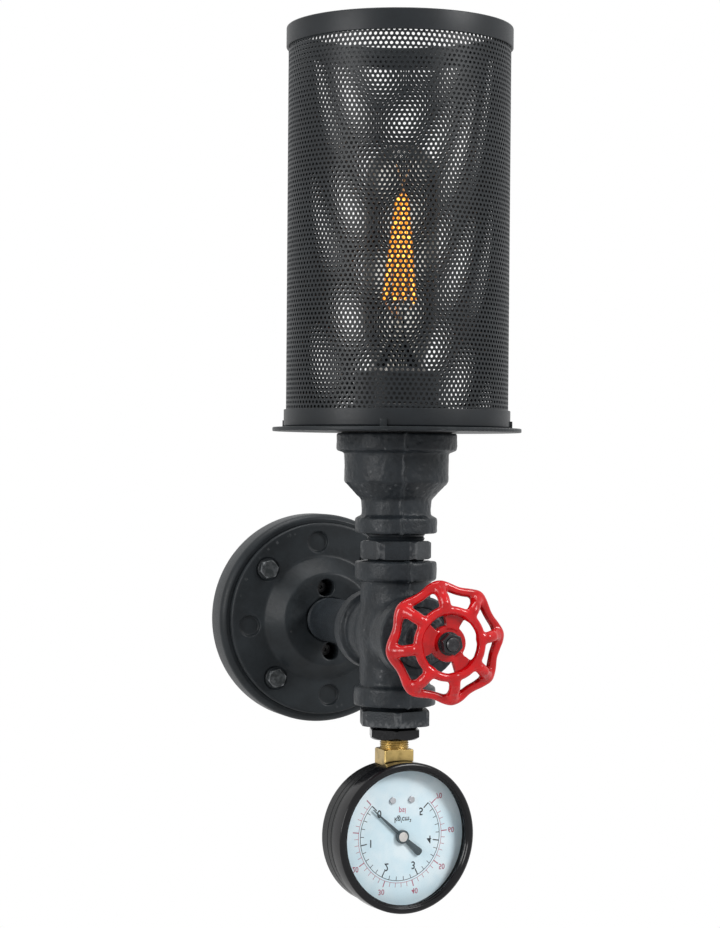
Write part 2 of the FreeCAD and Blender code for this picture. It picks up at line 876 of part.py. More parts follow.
FILAMENT_LOW = 149.0
FILAMENT_HIGH = 198.5
FILAMENT_LOW_R = 6.6
FILAMENT_HIGH_R = 1.2
FILAMENT_R = 0.55
FILAMENT_DIRECTIONS = [25.0, 115.0, 205.0, 295.0]


def slanted_rod(start, end, radius):
    """Round bar between two points."""
    return Part.makeCylinder(radius, start.distanceToPoint(end), start, end - start)


def bulb_filament():
    """Four amber strands that spread from the top of the bulb towards its foot."""
    strands = []
    for direction in FILAMENT_DIRECTIONS:
        low = V(*polar(FILAMENT_LOW_R, direction), FILAMENT_LOW)
        high = V(*polar(FILAMENT_HIGH_R, direction), FILAMENT_HIGH)
        strands.append(slanted_rod(low, high, FILAMENT_R))
    return leaning(Part.makeCompound(strands))


def bulb_supports():
    """Wires that hold the strands: two feet, a centre wire and a small fork at the top."""
    wire_r = 0.3
    centre_low = V(0, 0, STEM_TOP - 0.6)
    centre_high = V(0, 0, FILAMENT_HIGH + 8.0)
    branch = V(0, 0, STEM_TOP + 0.2)
    foot_z = FILAMENT_LOW - 1.0
    fork_x = 3.6
    fork_low = V(0, 0, FILAMENT_HIGH + 4.0)
    fork_high = FILAMENT_HIGH + 16.0
    pieces = [slanted_rod(centre_low, centre_high, wire_r)]
    for direction in FILAMENT_DIRECTIONS:
        pieces.append(slanted_rod(branch, V(*polar(FILAMENT_LOW_R, direction), foot_z), wire_r))
    for side in (-1, 1):
        pieces.append(slanted_rod(fork_low, V(side * fork_x, 0, fork_high), wire_r))
    stem_end = rod(STEM_ROD_R + FIT_GAP, STEM_TOP - OVERSHOOT, STEM_TOP + SEAT_GAP)
    return leaning(fused(pieces).cut(stem_end))


# Front valve. These pieces are built with Z as the distance in front of the vertical axis.

BONNET_FRONT = CROSS_REACH + 8.0
BOX_LOW = 33.2              # floor of the stuffing box
BOX_R = 6.2
PACKING_HIGH = BOX_LOW + 4.6


def bonnet():
    """Plug in the front port with a hex and a stuffing box for the stem."""
    low = 20.0
    hex_flats = 19.4
    hex_chamfer = 1.4
    section = [(0, low)]
    section += thread_points(THREAD_R_THREE_QUARTER, low, CROSS_REACH)
    section += [(0, CROSS_REACH)]
    head = hexagon(hex_flats, CROSS_REACH - OVERSHOOT, BONNET_FRONT, 0, 0, hex_chamfer)
    front = BONNET_FRONT + OVERSHOOT
    bores = [rod(STEM_R + RUN_GAP, low - OVERSHOOT, front), rod(BOX_R, BOX_LOW, front)]
    return facing_front(cut_all(fused([turned(section), head]), bores), STAND_OFF)


def stem_packing():
    """Packing ring round the stem."""
    ring = tube(BOX_R - FIT_GAP, STEM_R + RUN_GAP, BOX_LOW + SEAT_GAP, PACKING_HIGH)
    return facing_front(ring, STAND_OFF)


def gland_nut():
    """Small hex nut whose nose presses on the packing."""
    flats = 14.0
    turn = 30.0
    chamfer = 0.9
    nose_low = PACKING_HIGH + FIT_GAP
    head_low = BONNET_FRONT + FIT_GAP
    head_high = head_low + 5.6
    head = hexagon(flats, head_low, head_high, turn, 0, chamfer)
    nose = rod(BOX_R - FIT_GAP, nose_low, head_low + OVERSHOOT)
    bore = rod(STEM_R + RUN_GAP, nose_low - OVERSHOOT, head_high + OVERSHOOT)
    return facing_front(fused([head, nose]).cut(bore), STAND_OFF)


STEM_BACK = 15.0
STEM_SHOULDER = 58.3
STEM_SQUARE = 5.9
HUB_FRONT = WHEEL_REACH + 4.5
WASHER_FRONT = HUB_FRONT + 0.85
STEM_END = HUB_FRONT + 6.0
NUT_THREAD_R = 3.0          # M6
CLIP_LOW = 17.4
CLIP_HIGH = 18.4
CLIP_GROOVE_R = 3.3


def valve_stem():
    """Round stem with a clip groove, a square for the wheel and a threaded end."""
    edge_r = 0.5
    groove_low = CLIP_LOW - RUN_GAP
    groove_high = CLIP_HIGH + RUN_GAP
    shaft = turned([
        (0, STEM_BACK), (STEM_R, STEM_BACK, edge_r), (STEM_R, groove_low), (CLIP_GROOVE_R, groove_low),
        (CLIP_GROOVE_R, groove_high), (STEM_R, groove_high), (STEM_R, STEM_SHOULDER), (0, STEM_SHOULDER),
    ])
    half = STEM_SQUARE / 2
    square_low = STEM_SHOULDER - OVERSHOOT
    square = block(-half, half, -half, half, square_low, HUB_FRONT)
    square = square.common(rod(STEM_R, square_low, HUB_FRONT))
    pitch = 1.0
    depth = 0.35
    chamfer = 0.6
    thread_low = HUB_FRONT - OVERSHOOT
    end_section = [(0, thread_low)]
    end_section += thread_points(NUT_THREAD_R, thread_low, STEM_END - chamfer, pitch, depth)
    end_section += [(NUT_THREAD_R - chamfer, STEM_END), (0, STEM_END)]
    return facing_front(fused([shaft, square, turned(end_section)]), STAND_OFF)


def stem_clip():
    """Retaining ring that keeps the stem in the bonnet."""
    outer = 6.2
    gap_half = 1.2
    ring = tube(outer, CLIP_GROOVE_R + RUN_GAP, CLIP_LOW, CLIP_HIGH)
    gap = block(0, outer + OVERSHOOT, -gap_half, gap_half, CLIP_LOW - OVERSHOOT, CLIP_HIGH + OVERSHOOT)
    return facing_front(ring.cut(gap), STAND_OFF)


RIM_OUTER_R = 25.9
RIM_LOBE = 1.0
RIM_WINDOW_R = 21.4
RIM_HALF = 2.1
RING_OUTER_R = 16.4
RING_INNER_R = 12.5
RING_LOW = 3.8
RING_HIGH = 7.8
BOSS_R = 7.9
ARM_SPANS = [(56, 98), (136, 207), (285, 324)]   # directions between which an arm fills the ring, degrees


def wheel_rim():
    """Lobed rim, its outline a wave of eight lobes."""
    points = []
    steps = WHEEL_LOBES * 12
    for i in range(steps):
        direction = FULL_TURN * i / steps
        radius = RIM_OUTER_R + RIM_LOBE * math.cos(math.radians(WHEEL_LOBES * (direction - WHEEL_TURN)))
        points.append(V(*polar(radius, direction), -RIM_HALF))
    curve = Part.BSplineCurve()
    curve.interpolate(Points=points, PeriodicFlag=True)
    outer = Part.Face(Part.Wire(curve.toShape())).extrude(V(0, 0, 2 * RIM_HALF))
    return outer.cut(rod(RIM_WINDOW_R, -RIM_HALF - OVERSHOOT, RIM_HALF + OVERSHOOT))


def wheel_spoke():
    """One spoke, arched forward from the rim to the ring, in the direction of +X."""
    half_width = 1.9
    foot_r = (RING_INNER_R + RING_OUTER_R) / 2
    side_view = [
        (foot_r, RING_LOW + 0.2), (foot_r, RING_HIGH - 0.4), (18.5, 6.9), (22.0, 4.4), (24.4, 1.6),
        (24.4, -1.6), (21.6, 0.6), (18.5, 3.4),
    ]
    corners = [V(radius, -half_width, height) for radius, height in side_view]
    face = Part.Face(Part.makePolygon(corners + corners[:1]))
    return face.extrude(V(0, 2 * half_width, 0))


def handwheel():
    """Cast wheel: lobed rim, eight spokes, forward ring, three arms and a hub with a square hole."""
    back_edge_r = 0.6
    front_edge_r = 1.2
    ring = turned([
        (RING_INNER_R, RING_LOW, back_edge_r), (RING_OUTER_R, RING_LOW, back_edge_r),
        (RING_OUTER_R, RING_HIGH, front_edge_r), (RING_INNER_R, RING_HIGH, front_edge_r),
    ])
    hub_back = -4.1
    hub_back_r = 6.4
    boss_back = 1.5
    boss_front = HUB_FRONT - WHEEL_REACH
    boss_edge_r = 0.9
    boss = turned([
        (0, hub_back), (hub_back_r, hub_back, back_edge_r), (BOSS_R, boss_back, boss_edge_r),
        (BOSS_R, boss_front, boss_edge_r), (0, boss_front),
    ])
    pieces = [wheel_rim(), ring, boss]
    for i in range(WHEEL_LOBES):
        pieces.append(placed(wheel_spoke(), turn_z=WHEEL_TURN + FULL_TURN * i / WHEEL_LOBES))
    arm_outer = RING_INNER_R + 0.8
    arm_inner = BOSS_R - 1.5
    arm_back, arm_front = 1.6, 4.4
    for first, last in ARM_SPANS:
        pieces.append(sector_ring(arm_outer, arm_inner, arm_back, arm_front, first, last))
    half = STEM_SQUARE / 2 + FIT_GAP
    hole = block(-half, half, -half, half, hub_back - OVERSHOOT, boss_front + OVERSHOOT)
    return facing_front(fused(pieces).cut(hole), STAND_OFF + WHEEL_REACH)


def wheel_washer():
    """Washer under the wheel nut."""
    outer = 6.0
    return facing_front(tube(outer, NUT_THREAD_R + FIT_GAP, HUB_FRONT + SEAT_GAP, WASHER_FRONT), STAND_OFF)


def wheel_nut():
    """Hex nut that holds the wheel on the stem."""
    flats = 10.0
    turn = 12.0
    chamfer = 0.6
    low = WASHER_FRONT + SEAT_GAP
    high = low + 4.2
    bore_r = NUT_THREAD_R + SEAT_GAP
    nut = hexagon(flats, low, high, turn, chamfer, chamfer)
    return facing_front(nut.cut(rod(bore_r, low - OVERSHOOT, high + OVERSHOOT)), STAND_OFF)


# Below the cross

HALF_INCH_PORT_R = 10.5
QUARTER_PORT_R = 6.65
HEX_BUSHING_LOW = -41.6
SMALL_HEX_LOW = -47.9
SQUARE_TOP = -52.3
SQUARE_LOW = -57.2
CORNER_TURN = -105.0        # a corner of the lower hexes points forward and slightly left, degrees


def bushing(thread_r, bore_r, thread_top, head):
    """Reducing bushing on the pipe axis from its hex head; the thread starts inside the head."""
    box = head.BoundBox
    thread_low = box.ZMax - OVERSHOOT
    section = [(0, thread_low)]
    section += thread_points(thread_r, thread_low, thread_top)
    section += [(0, thread_top)]
    body = fused([turned(section), head])
    return on_pipe_axis(body.cut(rod(bore_r, box.ZMin - OVERSHOOT, thread_top + OVERSHOOT)))


def hex_bushing():
    """3/4 x 1/2 in hex bushing in the cross's lower port."""
    flats = 30.0
    head_top = -34.6
    thread_top = -20.0
    chamfer = 1.0
    head = hexagon(flats, HEX_BUSHING_LOW, head_top, CORNER_TURN, chamfer, chamfer)
    return bushing(THREAD_R_THREE_QUARTER, HALF_INCH_PORT_R, thread_top, head)


def reducing_bushing():
    """1/2 x 1/4 in bushing with a small glossy hex."""
    flats = 21.5
    head_top = -43.4
    thread_top = -27.0
    chamfer_low = 2.2
    chamfer_high = 0.6
    head = hexagon(flats, SMALL_HEX_LOW, head_top, CORNER_TURN, chamfer_low, chamfer_high)
    return bushing(HALF_INCH_PORT_R - FIT_GAP, QUARTER_PORT_R, thread_top, head)


# Gauge. These pieces are built with the dial facing +Z, the stem up +Y and Z = 0 on the stem axis.

GAUGE_NECK_R = 5.5
BLOCK_FRONT = 6.1
PLATE_FRONT = 7.0
DIAL_BACK = 7.1
DIAL_FRONT = 7.7
WINDOW_BACK = 10.6
WINDOW_FRONT = 12.1
CASE_BACK = -9.0
CASE_WALL = 0.8
DIAL_SCREW_X = 4.8
DIAL_SCREW_Y = 16.5
SCREW_R = 0.85
SCREW_HOLE_R = 0.95
SCREW_LOW = 2.8
ARBOR_R = 0.7
TUBE_MIDDLE_R = 22.0
TUBE_TIP_DIRECTION = 150.0
SQUARE_LOW_Y = SQUARE_LOW - GAUGE_HEIGHT
SQUARE_TOP_Y = SQUARE_TOP - GAUGE_HEIGHT


def stem_square():
    """Square stretch of the stem with its corners turned off a little."""
    half = 7.0
    corner_r = half * 1.36
    chamfer = 1.0
    low = SQUARE_LOW_Y
    high = SQUARE_TOP_Y
    limit = turned([
        (0, low), (corner_r - chamfer, low), (corner_r, low + chamfer), (corner_r, high - chamfer),
        (corner_r - chamfer, high), (0, high),
    ])
    return block(-half, half, low, high, -half, half).common(upright(limit))


def gauge_stem():
    """Brass stem: thread, square, neck and the block inside the case."""
    pitch = 1.34
    depth = 0.5
    thread_low = SQUARE_TOP_Y - OVERSHOOT
    thread_top = SQUARE_TOP_Y + 11.5
    thread = [(0, thread_low)]
    thread += thread_points(QUARTER_PORT_R - FIT_GAP, thread_low, thread_top, pitch, depth)
    thread += [(0, thread_top)]
    block_half = 6.0
    block_low, block_high = 13.0, 30.0
    block_back = -5.0
    neck_low = block_high - 3.0
    bore_r = 1.5
    bore_low = block_low + 6.0
    pieces = [
        upright(turned(thread)),
        stem_square(),
        upright(rod(GAUGE_NECK_R, neck_low, SQUARE_LOW_Y + OVERSHOOT)),
        block(-block_half, block_half, block_low, block_high, block_back, BLOCK_FRONT),
    ]
    tools = [upright(rod(bore_r, bore_low, thread_top + OVERSHOOT))]
    for side in (-1, 1):
        x = side * DIAL_SCREW_X
        tools.append(rod(SCREW_HOLE_R, SCREW_LOW - 0.2, BLOCK_FRONT + OVERSHOOT, x, DIAL_SCREW_Y))
    return in_gauge(cut_all(fused(pieces), tools))


def neck_hole():
    """Room for the stem's neck through the wall of the case."""
    return upright(rod(GAUGE_NECK_R + FIT_GAP, CASE_R - 10, CASE_R + 10))


def stem_collar():
    """Thin curved collar between the square and the case."""
    spread = 15.0
    back, front = -7.5, 5.0
    outer = SQUARE_LOW_Y - FIT_GAP
    saddle = sector_ring(outer, CASE_R + SEAT_GAP, back, front, 90 - spread, 90 + spread)
    return in_gauge(saddle.cut(neck_hole()))


def gauge_case():
    """Pressed cup with two fine grooves round its side and a hole for the stem."""
    groove_r = CASE_R - 0.25
    groove_width = 0.7
    groove_slope = 0.2
    edge_r = 2.0
    inner = CASE_R - CASE_WALL
    inner_edge_r = 1.4
    floor = CASE_BACK + CASE_WALL
    mouth = WINDOW_BACK - FIT_GAP
    section = [(0, CASE_BACK), (CASE_R, CASE_BACK, edge_r)]
    for low in (-2.4, 1.2):
        high = low + groove_width
        section += [(CASE_R, low), (groove_r, low + groove_slope)]
        section += [(groove_r, high - groove_slope), (CASE_R, high)]
    section += [(CASE_R, mouth), (inner, mouth), (inner, floor, inner_edge_r), (0, floor)]
    return in_gauge(turned(section).cut(neck_hole()))


def gauge_bezel():
    """Rounded glossy ring that holds the window."""
    inner = CASE_R + FIT_GAP
    lip_inner = 29.6
    lip_shoulder_r = lip_inner + 1.2
    back = 5.6
    lip_back = WINDOW_FRONT + FIT_GAP
    lip_front = lip_back + 0.6
    back_edge_r = 0.6
    front_edge_r = 1.0
    lip_edge_r = 0.8
    return in_gauge(turned([
        (inner, back), (BEZEL_R, back, back_edge_r), (BEZEL_R, BEZEL_FRONT, front_edge_r),
        (lip_shoulder_r, BEZEL_FRONT, lip_edge_r), (lip_inner, lip_front),
        (lip_inner, lip_back), (inner, lip_back),
    ]))


def gauge_window():
    """Clear round window."""
    return in_gauge(rod(CASE_R - 2 * FIT_GAP, WINDOW_BACK, WINDOW_FRONT))


def gauge_dial():
    """Round dial plate."""
    spindle_hole_r = 1.2
    places = [(spindle_hole_r, 0, 0)]
    for side in (-1, 1):
        places.append((SCREW_HOLE_R, side * DIAL_SCREW_X, DIAL_SCREW_Y))
    plate = rod(CASE_R - CASE_WALL - 3 * FIT_GAP, DIAL_BACK, DIAL_FRONT)
    tools = [rod(radius, DIAL_BACK - OVERSHOOT, DIAL_FRONT + OVERSHOOT, x, y) for radius, x, y in places]
    return in_gauge(cut_all(plate, tools))


def dial_screws():
    """Two slotted screws that hold the dial."""
    head_r = 1.5
    head_low = DIAL_FRONT + SEAT_GAP
    head_top = head_low + 0.8
    head_rounding = 0.3
    slot_half = 0.2
    slot_floor = head_top - 0.3
    screw = turned([
        (0, SCREW_LOW), (SCREW_R, SCREW_LOW), (SCREW_R, head_low), (head_r, head_low),
        (head_r, head_top, head_rounding), (0, head_top),
    ])
    screw = screw.cut(block(-head_r, head_r, -slot_half, slot_half, slot_floor, head_top + OVERSHOOT))
    screws = [placed(screw, V(side * DIAL_SCREW_X, DIAL_SCREW_Y, 0)) for side in (-1, 1)]
    return in_gauge(Part.makeCompound(screws))


def gauge_needle():
    """Pointer with a round hub and a broad tail."""
    low, high = 8.4, 8.9
    hub_low = low - 0.3
    hub_high = high + 0.5
    hub_r = 3.1
    hub_edge_r = 0.3
    tip = 19.6
    tail_end = -12.4
    tail_end_r = 1.4
    pointer = slab([(2.4, -0.85), (tip, -0.16), (tip, 0.16), (2.4, 0.85)], low, high)
    tail = slab([
        (-1.0, -0.9), (-6.5, -1.3), (tail_end, -1.9, tail_end_r),
        (tail_end, 1.9, tail_end_r), (-6.5, 1.3), (-1.0, 0.9),
    ], low, high)
    hub = turned([(0, hub_low), (hub_r, hub_low), (hub_r, hub_high, hub_edge_r), (0, hub_high)])
    hole = rod(ARBOR_R + RUN_GAP, hub_low - OVERSHOOT, hub_high + OVERSHOOT)
    return in_gauge(placed(fused([pointer, tail, hub]).cut(hole), turn_z=NEEDLE_REST))


def tooth_ring(teeth, first, count):
    """Outline points of straight-sided teeth on part of a circle, from one root to the next."""
    pressure_angle = 20
    pitch_r = GEAR_MODULE * teeth / 2
    root_r = pitch_r - 1.15 * GEAR_MODULE
    tip_r = pitch_r + 0.8 * GEAR_MODULE
    slope = math.tan(math.radians(pressure_angle))
    half_pitch = math.pi * GEAR_MODULE / 4 - BACKLASH
    half_root = math.degrees((half_pitch + (pitch_r - root_r) * slope) / root_r)
    half_tip = math.degrees((half_pitch - (tip_r - pitch_r) * slope) / tip_r)
    points = []
    for i in range(count):
        middle = first + FULL_TURN * i / teeth
        points += [polar(root_r, middle - half_root), polar(tip_r, middle - half_tip),
                   polar(tip_r, middle + half_tip), polar(root_r, middle + half_root)]
    return points


BACKLASH = 0.035
CENTRE_DISTANCE = GEAR_MODULE * (PINION_TEETH + SECTOR_TEETH) / 2
SECTOR_BASE = polar(CENTRE_DISTANCE, SECTOR_DIRECTION)
SECTOR_LOW = 2.0
SECTOR_HIGH = 3.4
SECTOR_TRAVEL_TEETH = 9
TAIL_DIRECTION = 160.0
TAIL_LENGTH = 6.0
MOVEMENT_BACK = 0.0
ARBOR_LOW = MOVEMENT_BACK + SEAT_GAP
LINK_PIN_R = 0.5
LINK_BACK = SECTOR_HIGH + 0.2
TUBE_LUG = (-15.9, 8.4)     # centre of the pin hole at the tip of the curved tube


def gauge_spindle():
    """Spindle of the pointer with its pinion; one tooth points at the sector."""
    extra_width = 0.4
    arbor_top = 9.2
    teeth = tooth_ring(PINION_TEETH, SECTOR_DIRECTION, PINION_TEETH)
    pinion = slab(teeth, SECTOR_LOW - extra_width, SECTOR_HIGH + extra_width)
    return in_gauge(fused([pinion, rod(ARBOR_R, ARBOR_LOW, arbor_top)]))


def sector_gear():
    """Toothed sector with its arbor and the tail that the link pulls."""
    step = FULL_TURN / SECTOR_TEETH
    towards_pinion = SECTOR_DIRECTION - 180
    first = towards_pinion - 1.5 * step
    count = SECTOR_TRAVEL_TEETH + 3
    last = first + step * (count - 1)
    rim_inner = 9.4
    arc_steps = 10
    teeth = tooth_ring(SECTOR_TEETH, first, count)
    inner = [polar(rim_inner, last - (last - first) * i / arc_steps) for i in range(arc_steps + 1)]
    hub_r = 2.2
    arm_half = 1.5
    arm_end = rim_inner + 0.6
    tail_half = 1.2
    tail_end = TAIL_LENGTH + tail_half
    tail_end_r = 1.0
    arm = block(0, arm_end, -arm_half, arm_half, SECTOR_LOW, SECTOR_HIGH)
    tail = slab([
        (0, -tail_half), (tail_end, -tail_half, tail_end_r),
        (tail_end, tail_half, tail_end_r), (0, tail_half),
    ], SECTOR_LOW, SECTOR_HIGH)
    pin_hole = rod(LINK_PIN_R + RUN_GAP, SECTOR_LOW - OVERSHOOT, SECTOR_HIGH + OVERSHOOT, TAIL_LENGTH, 0)
    sector = fused([
        slab(teeth + inner, SECTOR_LOW, SECTOR_HIGH),
        rod(hub_r, SECTOR_LOW, SECTOR_HIGH),
        rod(ARBOR_R, ARBOR_LOW, PLATE_FRONT - SEAT_GAP),
        placed(arm, turn_z=(first + last) / 2),
        placed(tail.cut(pin_hole), turn_z=TAIL_DIRECTION),
    ])
    return in_gauge(placed(sector, V(*SECTOR_BASE, 0)))


def tail_pin():
    """Place of the pin in the sector's tail at rest."""
    dx, dy = polar(TAIL_LENGTH, TAIL_DIRECTION)
    return SECTOR_BASE[0] + dx, SECTOR_BASE[1] + dy


def tube_link():
    """Thin link between the sector's tail and the tip of the curved tube."""
    x, y = tail_pin()
    half = 0.9
    corner_r = 0.8
    low = -1.2
    high = TUBE_LUG[1] - y + 1.2
    front = LINK_BACK + 0.6
    bar = slab([
        (-half, low, corner_r), (half, low, corner_r), (half, high, corner_r), (-half, high, corner_r),
    ], LINK_BACK, front)
    pin = rod(LINK_PIN_R, SECTOR_LOW, front - 0.3)
    return in_gauge(placed(fused([bar, pin]), V(x, y, 0)))


def movement_frame():
    """Two plates held apart by three pillars; they carry the spindle and the sector."""
    thickness = 0.8
    front_back = PLATE_FRONT - thickness
    low_edge, high_edge = -15.5, 12.6
    left, right = -13.0, 9.8
    outline = [
        (left, low_edge, 3.0), (right, low_edge, 3.0), (right, high_edge),
        (-9.0, high_edge, 2.0), (left, -5.0, 2.0),
    ]
    ear_half = 6.1
    ear_top = 21.5
    ear_low = high_edge - OVERSHOOT
    ear_corner_r = 1.5
    ear = slab([
        (-ear_half, ear_low), (ear_half, ear_low),
        (ear_half, ear_top, ear_corner_r), (-ear_half, ear_top, ear_corner_r),
    ], front_back, PLATE_FRONT)
    back = slab(outline, MOVEMENT_BACK, MOVEMENT_BACK + thickness)
    pieces = [back, slab(outline, front_back, PLATE_FRONT), ear]
    pillar_r = 1.2
    for x, y in ((7.6, 9.6), (7.6, -13.0), (-7.2, 10.4)):
        pieces.append(rod(pillar_r, MOVEMENT_BACK, PLATE_FRONT, x, y))
    low = MOVEMENT_BACK - OVERSHOOT
    high = PLATE_FRONT + OVERSHOOT
    holes = [rod(ARBOR_R + RUN_GAP, low, high, x, y) for x, y in ((0, 0), SECTOR_BASE)]
    for side in (-1, 1):
        holes.append(rod(SCREW_HOLE_R, front_back - OVERSHOOT, high, side * DIAL_SCREW_X, DIAL_SCREW_Y))
    return in_gauge(cut_all(fused(pieces), holes))


def bourdon_tube():
    """Flattened C-shaped tube from the block to the lug that the link pulls."""
    outer_r = TUBE_MIDDLE_R + 1.5
    inner_r = TUBE_MIDDLE_R - 1.5
    low, high = -0.5, 6.5
    wall = 0.4
    first = TUBE_TIP_DIRECTION
    last = FULL_TURN + 72.3
    tip_plug = 1.5
    open_end = 1.0
    outer = sector_ring(outer_r, inner_r, low, high, first, last)
    hollow_first = first + tip_plug
    hollow_last = last + open_end
    hollow = sector_ring(outer_r - wall, inner_r + wall, low + wall, high - wall, hollow_first, hollow_last)
    x, y = TUBE_LUG
    corner_r = 0.8
    lug_low = MOVEMENT_BACK + 0.6
    lug = slab([
        (x - 3.2, y - 1.4), (x + 1.2, y - 1.4, corner_r), (x + 1.2, y + 1.4, corner_r), (x - 3.0, y + 4.2),
    ], lug_low, SECTOR_HIGH)
    pin_hole = rod(LINK_PIN_R + RUN_GAP, lug_low - OVERSHOOT, SECTOR_HIGH + OVERSHOOT, x, y)
    return in_gauge(fused([outer.cut(hollow), lug.cut(pin_hole)]))


PIECES = [
    wall_bracket, canopy_shell, flange_plate, flange_bolts, canopy_screws, terminal_block, earth_screw,
    live_wire, neutral_wire, earth_wire,
    pipe_nipple, back_bushing, cross_fitting, hex_nipple, reducing_coupling,
    fixing_disc, fixing_tube, tube_nut, plate_gasket,
    shade_plate, shade_mesh, shade_top_rim, shade_bottom_band,
    holder_body, holder_ring, holder_insert, screw_shell, centre_contact,
    bulb_cap, bulb_insulator, bulb_contact, bulb_glass, bulb_stem, bulb_filament, bulb_supports,
    bonnet, stem_packing, gland_nut, valve_stem, stem_clip, handwheel, wheel_washer, wheel_nut,
    hex_bushing, reducing_bushing,
    gauge_stem, stem_collar, gauge_case, gauge_bezel, gauge_window, gauge_dial, dial_screws, gauge_needle,
    gauge_spindle, sector_gear, tube_link, movement_frame, bourdon_tube,
]


def main():
    """Write one STEP file per piece."""
    os.makedirs("parts", exist_ok=True)
    for piece in PIECES:
        shape = piece()
        shape.exportStep("parts/" + piece.__name__ + ".step")
        state = "valid" if shape.isValid() else "NOT VALID"
        box = shape.BoundBox
        limits = (box.XMin, box.XMax, box.YMin, box.YMax, box.ZMin, box.ZMax)
        rounded = [round(value, 1) for value in limits]
        print(piece.__name__, len(shape.Solids), state, round(shape.Volume), rounded)


main()
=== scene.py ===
"""Looks of the industrial pipe wall light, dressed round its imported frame.

Metres in Blender; the shapes below are written in millimetres and placed by a matrix.
The wall is at y = 0, +Z is up and the lamp stands out along -Y.
"""

import math

import bpy
import numpy as np
import openvdb
from mathutils import Matrix, Vector


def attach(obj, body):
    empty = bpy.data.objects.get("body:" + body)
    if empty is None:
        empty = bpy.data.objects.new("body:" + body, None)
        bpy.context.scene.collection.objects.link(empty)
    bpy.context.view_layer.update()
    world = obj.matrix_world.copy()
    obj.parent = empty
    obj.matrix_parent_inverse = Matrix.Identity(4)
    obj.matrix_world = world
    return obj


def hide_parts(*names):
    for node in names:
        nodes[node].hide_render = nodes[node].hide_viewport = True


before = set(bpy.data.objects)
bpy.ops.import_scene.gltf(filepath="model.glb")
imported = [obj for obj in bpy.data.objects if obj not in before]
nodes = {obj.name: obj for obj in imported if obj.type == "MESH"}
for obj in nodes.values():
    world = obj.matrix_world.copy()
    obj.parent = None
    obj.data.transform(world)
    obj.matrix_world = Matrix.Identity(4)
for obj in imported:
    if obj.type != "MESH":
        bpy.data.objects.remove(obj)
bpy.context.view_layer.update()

MM = 0.001
STAND_OFF = 123.8           # wall to the vertical pipe axis
CROSS_REACH = 32.6          # middle of the cross to the end of each port
WHEEL_REACH = 62.6          # vertical axis to the middle plane of the wheel's rim
GAUGE_HEIGHT = -91.35       # middle of the dial
GAUGE_YAW = 8.17            # degrees by which the gauge is screwed round


# Places. Each turns a piece's own millimetres into metres in the frame.

def in_metres(rotation, offset):
    """Matrix that turns a piece and moves it by this many millimetres."""
    return Matrix.Scale(MM, 4) @ Matrix.Translation(offset) @ rotation


def facing_front(depth):
    """A piece built along +Z points out of the wall, from this depth on."""
    return in_metres(Matrix.Rotation(math.radians(90), 4, "X"), (0, -depth, 0))


ON_PIPE_AXIS = in_metres(Matrix.Identity(4), (0, -STAND_OFF, 0))
IN_GAUGE = in_metres(
    Matrix.Rotation(math.radians(GAUGE_YAW), 4, "Z") @ Matrix.Rotation(math.radians(90), 4, "X"),
    (0, -STAND_OFF, GAUGE_HEIGHT))


# Meshes

def add_piece(mesh, place, body, material, replaced=()):
    """Make a piece of a mesh in millimetres, under its name, and let it ride on a body."""
    mesh.transform(place)
    piece = bpy.data.objects.new(mesh.name, mesh)
    bpy.context.scene.collection.objects.link(piece)
    mesh.materials.append(material)
    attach(piece, body)
    if replaced:
        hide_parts(*replaced)


def mesh_of(name, points, faces, smooth=True, sharp_degrees=None):
    """Mesh from points and faces, shaded smooth except across sharp edges."""
    mesh = bpy.data.meshes.new(name)
    mesh.from_pydata([tuple(p) for p in points], [], [tuple(f) for f in faces])
    mesh.update()
    if smooth:
        mesh.shade_smooth()
        if sharp_degrees:
            mesh.set_sharp_from_angle(angle=math.radians(sharp_degrees))
    return mesh


def quads_mesh(name, points, quads):
    """Smooth mesh from arrays of points and four-cornered faces."""
    mesh = bpy.data.meshes.new(name)
    mesh.vertices.add(len(points))
    mesh.vertices.foreach_set("co", np.ascontiguousarray(points, np.float32).ravel())
    mesh.loops.add(quads.size)
    mesh.loops.foreach_set("vertex_index", np.ascontiguousarray(quads, np.int32).ravel())
    mesh.polygons.add(len(quads))
    mesh.polygons.foreach_set("loop_start", np.arange(0, quads.size, 4, dtype=np.int32))
    mesh.update(calc_edges=True)
    mesh.validate()
    mesh.shade_smooth()
    return mesh


def hashed(ix, iy, iz, seed):
    """Repeatable number from -1 to 1 for each whole-number place."""
    h = (ix * 374761393 + iy * 668265263 + iz * 1440662683 + seed * 974711) & 0x7FFFFFFF
    h = ((h ^ (h >> 13)) * 1274126177) & 0x7FFFFFFF
    return ((h ^ (h >> 16)) & 0xFFFF) / 32767.5 - 1.0


def wave_noise(points, size, seed):
    """Smooth noise from -1 to 1 at points, with features of about this size."""
    q = np.asarray(points, float) / size
    cell = np.floor(q).astype(np.int64)
    t = q - cell
    t = t * t * (3 - 2 * t)
    total = np.zeros(len(q))
    for dx in (0, 1):
        for dy in (0, 1):
            for dz in (0, 1):
                weight = (
                    (t[:, 0] if dx else 1 - t[:, 0])
                    * (t[:, 1] if dy else 1 - t[:, 1])
                    * (t[:, 2] if dz else 1 - t[:, 2]))
                corner = hashed(cell[:, 0] + dx, cell[:, 1] + dy, cell[:, 2] + dz, seed)
                total += weight * corner
    return total


def roughened(points, quads, layers, seed):
    """Move points along their normals by layers of (size, height) noise."""
    a, b, c, d = (points[quads[:, i]] for i in range(4))
    across = np.cross(c - a, d - b)
    normals = np.zeros_like(points)
    for i in range(4):
        np.add.at(normals, quads[:, i], across)
    normals /= np.linalg.norm(normals, axis=1)[:, None] + 1e-12
    shift = sum(
        height * wave_noise(points, size, seed + i) for i, (size, height) in enumerate(layers))
    return points + normals * shift[:, None]


